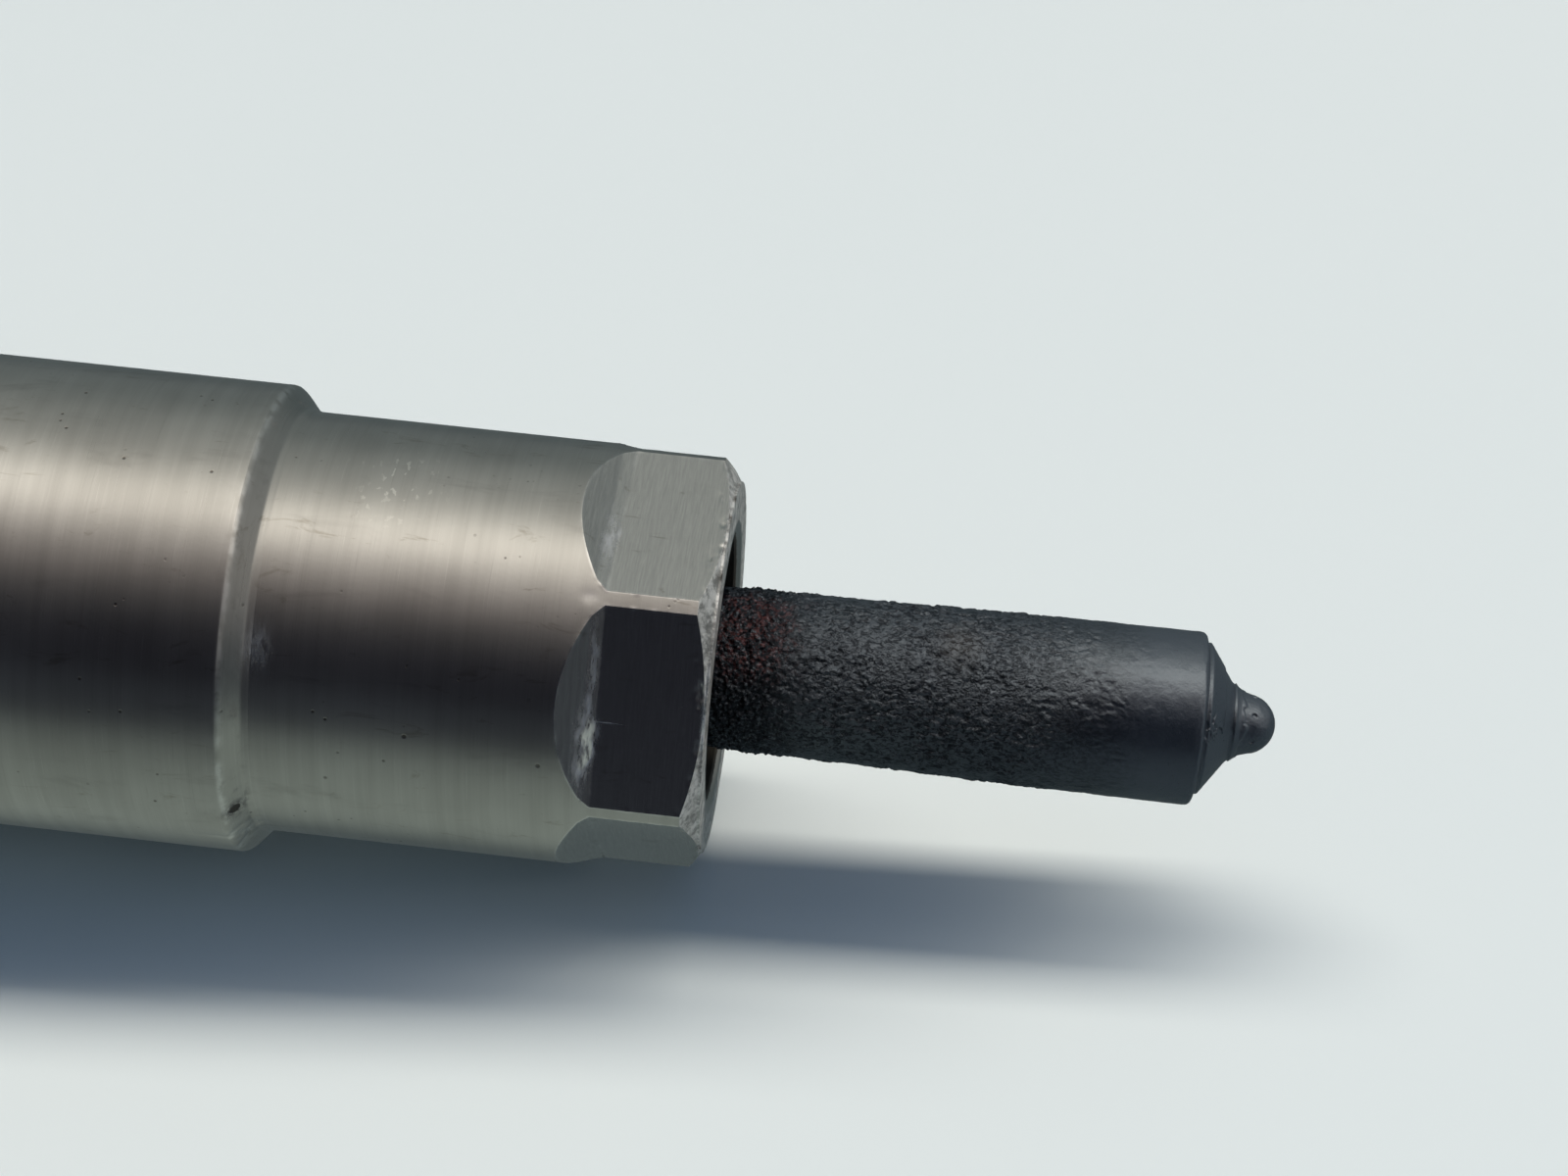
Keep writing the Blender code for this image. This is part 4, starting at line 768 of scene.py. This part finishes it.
def nozzle_spring():
    """The needle's closing spring, with ground ends."""
    turns, steps_in_turn, sides = 7.5, 36, 16
    grind = 0.12
    evenness = 1.35  # at 1 the end coils would touch
    share = np.linspace(0, 1, int(turns * steps_in_turn) + 1)
    along = share - np.sin(2 * math.pi * share) / (2 * math.pi * evenness)
    rear, front = SPRING_REAR + SPRING_WIRE_R - grind, SPRING_FRONT - SPRING_WIRE_R + grind
    turn = 2 * math.pi * turns * share
    centre = np.stack([rear + (front - rear) * along, SPRING_R * np.cos(turn), SPRING_R * np.sin(turn)], -1)
    outward = np.stack([0 * turn, np.cos(turn), np.sin(turn)], -1)
    sideways = np.cross(np.gradient(centre, axis=0), outward)
    sideways = sideways / np.linalg.norm(sideways, axis=1, keepdims=True)
    spot = np.linspace(0, 2 * math.pi, sides, endpoint=False)[None, :, None]
    wire = np.cos(spot) * outward[:, None] + np.sin(spot) * sideways[:, None]
    points = centre[:, None] + SPRING_WIRE_R * wire
    points[..., 0] = np.clip(points[..., 0], SPRING_REAR, SPRING_FRONT)
    index = np.arange(points.shape[0] * sides).reshape(-1, sides)
    here, on = index[:-1], index[1:]
    faces = np.stack([here, np.roll(here, -1, 1), np.roll(on, -1, 1), on], -1).reshape(-1, 4).tolist()
    faces += [index[0][::-1].tolist(), index[-1].tolist()]
    piece = mesh_object("nozzle_spring_wire", points.reshape(-1, 3).tolist(), faces, FINISH["spring_steel"])
    piece.data.transform(INJECTOR_AXIS)
    crisp(piece, 40)
    rides(piece, "injector", "spring_steel", "nozzle_spring")
    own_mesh(piece)


# ---------------------------------------------------------------- injector body


def inlet_frame():
    """The inlet's own axis: local x points out of the head."""
    lean = math.radians(INLET_LEAN)
    way = Vector((-math.sin(lean), 0, math.cos(lean)))
    origin = Vector((FACE_X + INLET_STATION * MM, 0, AXIS_Z))
    turn = way.to_track_quat("X", "Z").to_matrix().to_4x4()
    return Matrix.Translation(origin) @ turn @ Matrix.Scale(MM, 4)


def cut(piece, tool, operation="DIFFERENCE"):
    """Applies a boolean at once and removes its tool."""
    change = piece.modifiers.new("cut", "BOOLEAN")
    change.operation = operation
    change.solver = "EXACT"
    change.object = tool
    bpy.context.view_layer.update()
    evaluated = piece.evaluated_get(bpy.context.evaluated_depsgraph_get())
    mesh = bpy.data.meshes.new_from_object(evaluated)
    piece.modifiers.clear()
    piece.data = mesh
    bpy.data.objects.remove(tool, do_unlink=True)
    return piece


def plug(name, outline, columns, place, finish):
    """A solid turned piece on another axis, from its far end back, both ends closed."""
    rows = refined(softened(outline, 0.25, closed=False), 1.5, closed=False)
    return skin(name, rows, columns, finish, poles=(outline[0][0], outline[-1][0]), place=place)


def injector_body():
    groove_front, groove_rear, groove_r = -85.6, -89.0, 8.2
    clamp_edge = 0.12
    outside = [
        (-28.1, 4.3), (-28.1, 7.5), (-28.6, 7.8), (-45.5, 7.8), (-46.0, 7.3), (-48.3, 7.3),
        (-48.3, NUT_R - 0.4), (-48.7, NUT_R), (groove_front, NUT_R), (groove_front, groove_r),
        (groove_rear, groove_r), (groove_rear, NUT_R), (-93.5, NUT_R), (-94.5, NUT_R + 0.3),
        (-97.4, HEAD_R - 0.5), (-98.0, HEAD_R), (CLAMP_FRONT + clamp_edge, HEAD_R),
        (CLAMP_FRONT - clamp_edge, HEAD_R), (CLAMP_REAR + clamp_edge, HEAD_R),
        (CLAMP_REAR - clamp_edge, HEAD_R), (-123.4, HEAD_R), (-124.0, HEAD_R - 0.6), (-124.0, 9.9),
        (-126.0, 9.9), (-126.0, 11.3), (-134.0, 11.3),
    ]
    inside = [
        (-134.0, 8.7), (-116.0, 8.7), (-116.0, 4.5), (-93.0, 4.5), (-92.2, 2.6), (-56.0, 2.6),
        (-56.0, 4.3),
    ]
    lean = math.radians(INLET_LEAN)

    def shape(station, clock, radius):
        turn = np.radians(clock)
        head = (radius > 10.5) & (station < -96)
        in_clamp = np.clip((CLAMP_FRONT - station) / clamp_edge, -1, 1)
        in_clamp = np.minimum(in_clamp, np.clip((station - CLAMP_REAR) / clamp_edge, -1, 1))
        flat = CLAMP_FLAT / np.maximum(np.abs(np.cos(turn)), 0.2)
        flat = np.where(head & (in_clamp > 0), flat, radius + 5)
        up, side, along = np.sin(turn) * radius, np.cos(turn) * radius, station - INLET_STATION
        beside = along * math.cos(lean) + up * math.sin(lean)
        gap = np.hypot(beside, side) - INLET_BOSS_R
        flare = 1.5 * np.clip(1 - gap / 2.6, 0, 1) ** 2 * head * (up > 0)
        return station, np.minimum(radius, flat) + flare

    def step(station, radius):
        return 0.45 if station < -96 and radius > 8 else 1.6

    rows = refined(softened(outside + inside, 0.2), step)
    piece = skin("injector_body_skin", rows, 144, FINISH["body_steel"], shape)
    place = inlet_frame()
    boss_outline = [
        (INLET_BOSS_END, 0.1), (INLET_BOSS_END, INLET_BOSS_R - 0.4),
        (INLET_BOSS_END - 0.4, INLET_BOSS_R), (9.0, INLET_BOSS_R), (9.0, 0.1),
    ]
    cut(piece, plug("inlet_boss", boss_outline, 96, place, FINISH["body_steel"]), "UNION")
    socket_outline = [(INLET_BOSS_END + 1, 0.1), (INLET_BOSS_END + 1, 5.1)]
    socket_outline += [(FITTING_FOOT, 5.1), (FITTING_FOOT, 0.1)]
    cut(piece, plug("inlet_socket", socket_outline, 64, place, FINISH["body_steel"]))
    crisp(piece, 38)
    rides(piece, "injector", "body_steel", "injector_body")


def ring_seal(name, node, major, minor, station):
    """An O-ring with the faint flash line that its mould leaves round the outside."""
    outline = list(arc(station, major, minor, 180, -165, 23))

    def shape(row_station, clock, radius):
        flash = hump(row_station - station, 0.05) * (radius > major)
        return row_station, radius + 0.02 * flash

    piece = skin(name, outline, 144, FINISH["rubber"], shape)
    rides(piece, "injector", "rubber", node)


def inlet_fitting():
    """The screwed inlet: spanner hexagon, undercut, helical thread and the cone that the pipe seals in."""
    pitch, thread_depth = 1.5, 0.85
    thread_front, thread_rear, thread_r = 22.1, 13.2, 7.0
    across_flats = 8.5
    outline = [
        (19.1, 1.5), (22.5, 2.9), (22.5, 6.2), (21.8, thread_r), (13.0, thread_r), (12.2, 6.2),
        (11.4, 6.2), (11.4, 9.0), (11.0, 9.6), (7.6, 9.6), (7.1, 9.0), (7.1, 4.9), (0.6, 4.9),
        (0.2, 4.5), (0.2, 1.5),
    ]
    turn_back = [(station, radius) for station, radius in outline]

    def shape(station, clock, radius):
        offset = clock % 60 - 30
        hexagon = across_flats / np.cos(np.radians(offset))
        in_hexagon = (station > 7.0) & (station < 11.5) & (radius > 6.5)
        made = np.where(in_hexagon, np.minimum(radius, hexagon), radius)
        wave = np.abs(((station / pitch - clock / 360) % 1) * 2 - 1)
        groove = thread_depth * np.clip(1.25 * (1 - wave) - 0.12, 0, 1)
        threaded = ramp(station, thread_rear - 0.2, thread_rear + 0.4)
        threaded = threaded * ramp(station, thread_front + 0.3, thread_front)
        return station, made - groove * threaded * (made > 6.0)

    def step(station, radius):
        return 0.11 if station > 12.5 and radius > 5.5 else 0.3

    rows = refined(softened(turn_back, 0.15), step)
    foot = inlet_frame() @ Matrix.Translation((FITTING_FOOT, 0, 0))
    piece = skin("inlet_fitting_skin", rows, 132, FINISH["body_steel"], shape, place=foot)
    crisp(piece, 40)
    rides(piece, "injector", "body_steel", "inlet_fitting")


# ---------------------------------------------------------------- solenoid end


def solenoid_nut():
    front, rear, run = -124.8, -140.5, 1.15
    face_r = 13.7
    corner_r = SOLENOID_NUT_FLAT / math.cos(math.radians(30))
    outline = [
        (front, 11.5), (front, face_r), (front - run, corner_r + 0.15),
        (rear + run, corner_r + 0.15), (rear, face_r), (rear, 11.0), (-138.2, 11.0), (-138.2, 11.5),
    ]
    masks = {}

    def shape(station, clock, radius):
        offset = clock % 60 - 30
        flat = SOLENOID_NUT_FLAT / np.cos(np.radians(offset))
        outer = radius > 12.6
        flat = np.where(outer, flat, radius + 5)
        gap = np.abs(flat - radius)
        pitted = rough(station, clock, radius, 0.9, 2, seed=2.2)
        masks["flat"] = ramp(radius - flat, 0.0, 0.03)
        corner = hump(30 - np.abs(offset), 1.1) * outer
        masks["wear"] = np.clip(0.7 * hump(gap, 0.08) * outer + 0.6 * corner, 0, 1)
        masks["grime"] = 0.25 * ramp(pitted, 0.2, 0.8)
        masks["rim"] = masks["scrape"] = 0.0 * station
        return station, np.minimum(radius, flat)

    rows = refined(softened(outline, 0.15), 0.3)
    piece = skin("solenoid_nut_skin", rows, 240, FINISH["nut_steel"], shape, masks=masks)
    crisp(piece, 24)
    rides(piece, "injector", "nut_steel", "solenoid_nut")


def solenoid_sleeve():
    outline = [
        (-135.2, 10.1), (-135.2, 11.3), (-138.0, 11.3), (-138.0, 10.8), (-155.4, 10.8),
        (-156.0, 10.45), (-156.0, 10.1),
    ]
    rows = refined(softened(outline, 0.12), 0.8)
    piece = skin("solenoid_sleeve_skin", rows, 144, FINISH["body_steel"])
    crisp(piece)
    rides(piece, "injector", "body_steel", "solenoid_sleeve")


def rounded_block(name, low, high, fillet, finish):
    """A box between two corners in metres, its edges rounded."""
    edit = bmesh.new()
    bmesh.ops.create_cube(edit, size=1)
    size = Vector(high) - Vector(low)
    middle = (Vector(high) + Vector(low)) / 2
    bmesh.ops.scale(edit, vec=size, verts=edit.verts)
    bmesh.ops.translate(edit, vec=middle, verts=edit.verts)
    bmesh.ops.bevel(edit, geom=list(edit.edges), offset=fillet, segments=5, profile=0.5, affect="EDGES")
    mesh = bpy.data.meshes.new(name)
    edit.to_mesh(mesh)
    edit.free()
    mesh.materials.append(finish)
    made = bpy.data.objects.new(name, mesh)
    bpy.context.scene.collection.objects.link(made)
    return made


def connector_housing():
    """The moulded cap with its plug tower: one part, with rounded edges and an open socket."""
    black = FINISH["black_plastic"]
    outline = [
        (-149.4, 2.7), (-149.4, 9.5), (-149.8, 9.9), (-156.1, 9.9), (-156.1, 10.8),
        (HOUSING_REAR + 1.5, 10.8), (HOUSING_REAR, 9.3), (HOUSING_REAR, 3.2),
        (HOUSING_REAR + 6.0, 3.2), (HOUSING_REAR + 6.0, 1.5), (-150.1, 1.5), (-150.1, 2.7),
    ]
    rows = refined(softened(outline, 0.3), 0.9)
    piece = skin("connector_housing_skin", rows, 128, black)
    wide, deep, wall, fillet = 15.0, 11.0, 1.6, 0.6
    x = FACE_X + CONNECTOR_STATION * MM
    top = AXIS_Z + CONNECTOR_REACH * MM
    low = (x - deep / 2 * MM, -wide / 2 * MM, AXIS_Z + 4.2 * MM)
    high = (x + deep / 2 * MM, wide / 2 * MM, top)
    cut(piece, rounded_block("connector_tower", low, high, fillet * MM, black), "UNION")
    inner = wall * MM
    socket_low = (low[0] + inner, low[1] + inner, AXIS_Z + SOCKET_FLOOR * MM)
    socket_high = (high[0] - inner, high[1] - inner, top + 3 * MM)
    cut(piece, rounded_block("connector_socket", socket_low, socket_high, 0.4 * MM, black))
    crisp(piece, 30)
    rides(piece, "injector", "black_plastic", "connector_housing")


def return_nipple():
    barb_r, neck_r, bore_r = 3.6, 2.9, 1.5
    rear, pitch = -181.0, 2.4
    outline = [(HOUSING_REAR + 5.8, bore_r), (HOUSING_REAR + 5.8, 3.0), (HOUSING_REAR - 0.2, 3.0)]
    outline += [(HOUSING_REAR - 0.2, 4.6), (HOUSING_REAR - 1.6, 4.6), (HOUSING_REAR - 1.6, neck_r)]
    for barb in (2, 1, 0):
        foot = rear + 0.5 + pitch * barb
        outline += [(foot + pitch * 0.8, neck_r), (foot + pitch * 0.7, barb_r), (foot, neck_r)]
    outline += [(rear, neck_r - 0.3), (rear, bore_r)]
    rows = refined(softened(outline, 0.12), 0.5)
    piece = skin("return_nipple_skin", rows, 96, FINISH["tinned_brass"])
    crisp(piece)
    rides(piece, "injector", "tinned_brass", "return_nipple")


# ---------------------------------------------------------------- stage, light and camera


def table_top():
    """A pale plain table.  The injector lies on the nut's shoulder and the solenoid nut's front edge."""
    rear_rest = -126.0
    rise = math.atan2(AXIS_Z / MM - NUT_R, SHOULDER - rear_rest)
    shade = Shade("pale_table", (0.80, 0.845, 0.83), 0.42, 0.0, 0.5)
    clouds = shade.noise(14, 3, 0.6)
    colour = shade.mix(shade.span(clouds, 0.3, 0.7), (0.797, 0.843, 0.830), (0.803, 0.847, 0.834))
    material = shade.done(colour)
    half = 1.5
    corners = [(-half, -half, 0), (half, -half, 0), (half, half, 0), (-half, half, 0)]
    table = mesh_object("table_top", corners, [(0, 1, 2, 3)], material)
    table.location = (FACE_X + rear_rest * MM, 0, 0)
    table.rotation_euler = (0, -rise, 0)
    reflected_table(shade)


def reflected_table(shade):
    """What reflections show of the table: a given glow, bright under the injector, dark nearwards."""
    nodes = shade.tree.nodes
    position = nodes.new("ShaderNodeNewGeometry").outputs["Position"]
    parts = nodes.new("ShaderNodeSeparateXYZ")
    shade.link(position, parts.inputs["Vector"])
    glow = nodes.new("ShaderNodeEmission")
    lit = shade.span(parts.outputs["Y"], -0.040, -0.0065)
    open_end = shade.span(parts.outputs["X"], FACE_X - 2 * MM, FACE_X + 12 * MM)
    bright = shade.mix(open_end, (0.31, 0.36, 0.335), (0.11, 0.13, 0.14))
    colour = shade.mix(lit, (0.04, 0.045, 0.055), bright)
    under = shade.span(parts.outputs["Y"], -0.0085, -0.0045)
    shade.link(shade.mix(under, colour, (0.10, 0.125, 0.13)), glow.inputs["Color"])
    ray = nodes.new("ShaderNodeLightPath")
    choose = nodes.new("ShaderNodeMixShader")
    shade.link(ray.outputs["Is Glossy Ray"], choose.inputs["Fac"])
    shade.link(shade.shader.outputs["BSDF"], choose.inputs[1])
    shade.link(glow.outputs["Emission"], choose.inputs[2])
    shade.link(choose.outputs["Shader"], nodes["Material Output"].inputs["Surface"])


# the room by angle over the injector, from the near horizon up and over to the far one: radiance and tint
ROOM = (
    (0, 0.015, (1.0, 1.0, 1.35)),
    (25, 0.02, (1.0, 1.0, 1.35)),
    (40, 0.065, (1.03, 1.0, 1.08)),
    (52, 0.20, (1.12, 1.0, 0.98)),
    (64, 0.45, (1.10, 1.0, 0.96)),
    (74, 0.85, (1.07, 1.0, 0.94)),
    (82, 1.55, (1.06, 1.0, 0.92)),
    (94, 1.50, (1.05, 1.0, 0.92)),
    (102, 0.85, (1.02, 1.0, 0.93)),
    (114, 0.48, (0.98, 1.0, 0.95)),
    (132, 0.38, (0.94, 1.0, 0.97)),
    (155, 0.22, (0.87, 1.0, 1.0)),
    (180, 0.20, (0.86, 1.0, 1.02)),
)
ROOM_PEAK = 2.0
ROOM_ENDS = (0.07, 0.30)
AMBIENT = (0.088, 0.140, 0.225)
BACKDROP = (0.70, 0.755, 0.74)


def room_light():
    """Set per type of ray: a pale backdrop, an even bluish ambient light and striped reflections."""
    world = bpy.data.worlds.new("studio")
    world.use_nodes = True
    bpy.context.scene.world = world
    tree = world.node_tree
    wires = Nodes(tree)
    background = tree.nodes["Background"]
    direction = tree.nodes.new("ShaderNodeTexCoord").outputs["Generated"]
    parts = tree.nodes.new("ShaderNodeSeparateXYZ")
    wires.link(direction, parts.inputs["Vector"])

    toward_near = wires.times(parts.outputs["Y"], -1.0)
    turn = wires.math("ARCTAN2", parts.outputs["Z"], toward_near)
    share = wires.math("DIVIDE", turn, math.pi)
    stripes = tree.nodes.new("ShaderNodeValToRGB")
    stripes.color_ramp.interpolation = "EASE"
    while len(stripes.color_ramp.elements) < len(ROOM):
        stripes.color_ramp.elements.new(0.5)
    for element, (angle, radiance, tint) in zip(stripes.color_ramp.elements, ROOM):
        element.position = angle / 180
        element.color = (*(radiance / ROOM_PEAK * channel for channel in tint), 1)
    wires.link(share, stripes.inputs["Fac"])
    end_on = wires.math("POWER", wires.math("ABSOLUTE", parts.outputs["X"]), 3.0)
    tip_side = wires.math("GREATER_THAN", parts.outputs["X"], 0.0)
    rear_end, tip_end = ((level / ROOM_PEAK,) * 3 for level in ROOM_ENDS)
    ends = wires.mix(tip_side, rear_end, tip_end)
    reflected = wires.mix(end_on, stripes.outputs["Color"], ends)
    ray = tree.nodes.new("ShaderNodeLightPath")
    ambient = tuple(channel / ROOM_PEAK for channel in AMBIENT)
    seen = wires.mix(ray.outputs["Is Glossy Ray"], ambient, reflected)
    backdrop = tuple(channel / ROOM_PEAK for channel in BACKDROP)
    seen = wires.mix(ray.outputs["Is Camera Ray"], seen, backdrop)
    wires.link(seen, background.inputs["Color"])
    background.inputs["Strength"].default_value = ROOM_PEAK


def lamp(name, offset, length, width, energy):
    """A soft lamp that faces the nozzle from an offset in metres.  Steel mirrors the room instead of it."""
    light = bpy.data.lights.new(name, "AREA")
    light.shape = "RECTANGLE"
    light.size = length
    light.size_y = width
    light.energy = energy
    light.color = (1.0, 0.96, 0.88)
    made = bpy.data.objects.new(name, light)
    bpy.context.scene.collection.objects.link(made)
    made.location = Vector((FACE_X, 0, 0)) + Vector(offset)
    way = -Vector(offset).normalized()
    along = Vector((1, 0, 0))
    across = way.cross(along).normalized()
    made.rotation_euler = Matrix((across.cross(-way), across, -way)).transposed().to_euler()
    made.visible_glossy = False
    made.visible_camera = False


def tube_lights():
    """Two lengths of lamp in line over the far side: they light the table and cast the shadow nearwards."""
    lean = math.radians(24)
    away, width = 2.4, 0.68
    height, aside = away * math.cos(lean), away * math.sin(lean)
    lamp("tube_over", (0.0, aside, height), 4.0, width, 56)
    lamp("tube_beyond_tip", (4.0, aside, height), 3.6, width, 107)


def photographer():
    """A close camera on the nozzle end, above the near side, turned a little and rolled."""
    elevation, yaw, pitch, roll = (math.radians(angle) for angle in (35.0, -2.71, 1.600, 6.217))
    station, distance, lens = 7.86, 122.3, 69.92
    forward = Vector((math.sin(yaw) * math.cos(pitch), math.cos(yaw) * math.cos(pitch), math.sin(pitch)))
    right = forward.cross(Vector((0, 0, 1))).normalized()
    up = right.cross(forward)
    rolled_right = right * math.cos(roll) + up * math.sin(roll)
    rolled_up = up * math.cos(roll) - right * math.sin(roll)
    raise_up = Matrix.Rotation(-elevation, 3, "X")
    axes = [raise_up @ axis for axis in (rolled_right, rolled_up, -forward)]
    eye = raise_up @ Vector((station, -distance, 0)) * MM + Vector((FACE_X, 0, AXIS_Z))
    camera = bpy.data.cameras.new("camera")
    camera.lens = lens
    camera.sensor_width = 36.0
    camera.clip_start = 0.01
    camera.clip_end = 50
    made = bpy.data.objects.new("camera", camera)
    bpy.context.scene.collection.objects.link(made)
    turned_axes = Matrix([axis.to_tuple() for axis in axes]).transposed().to_4x4()
    made.matrix_world = Matrix.Translation(eye) @ turned_axes
    bpy.context.scene.camera = made


photographer()
nozzle_nut()
nozzle_body()
nozzle_spring()
injector_body()
ring_seal("body_seal", "body_o_ring", 9.75, 1.35, -87.3)
ring_seal("solenoid_seal", "solenoid_o_ring", 10.68, 0.72, -125.0)
inlet_fitting()
solenoid_nut()
solenoid_sleeve()
connector_housing()
return_nipple()
table_top()
room_light()
tube_lights()
bpy.context.scene.view_settings.view_transform = "Standard"
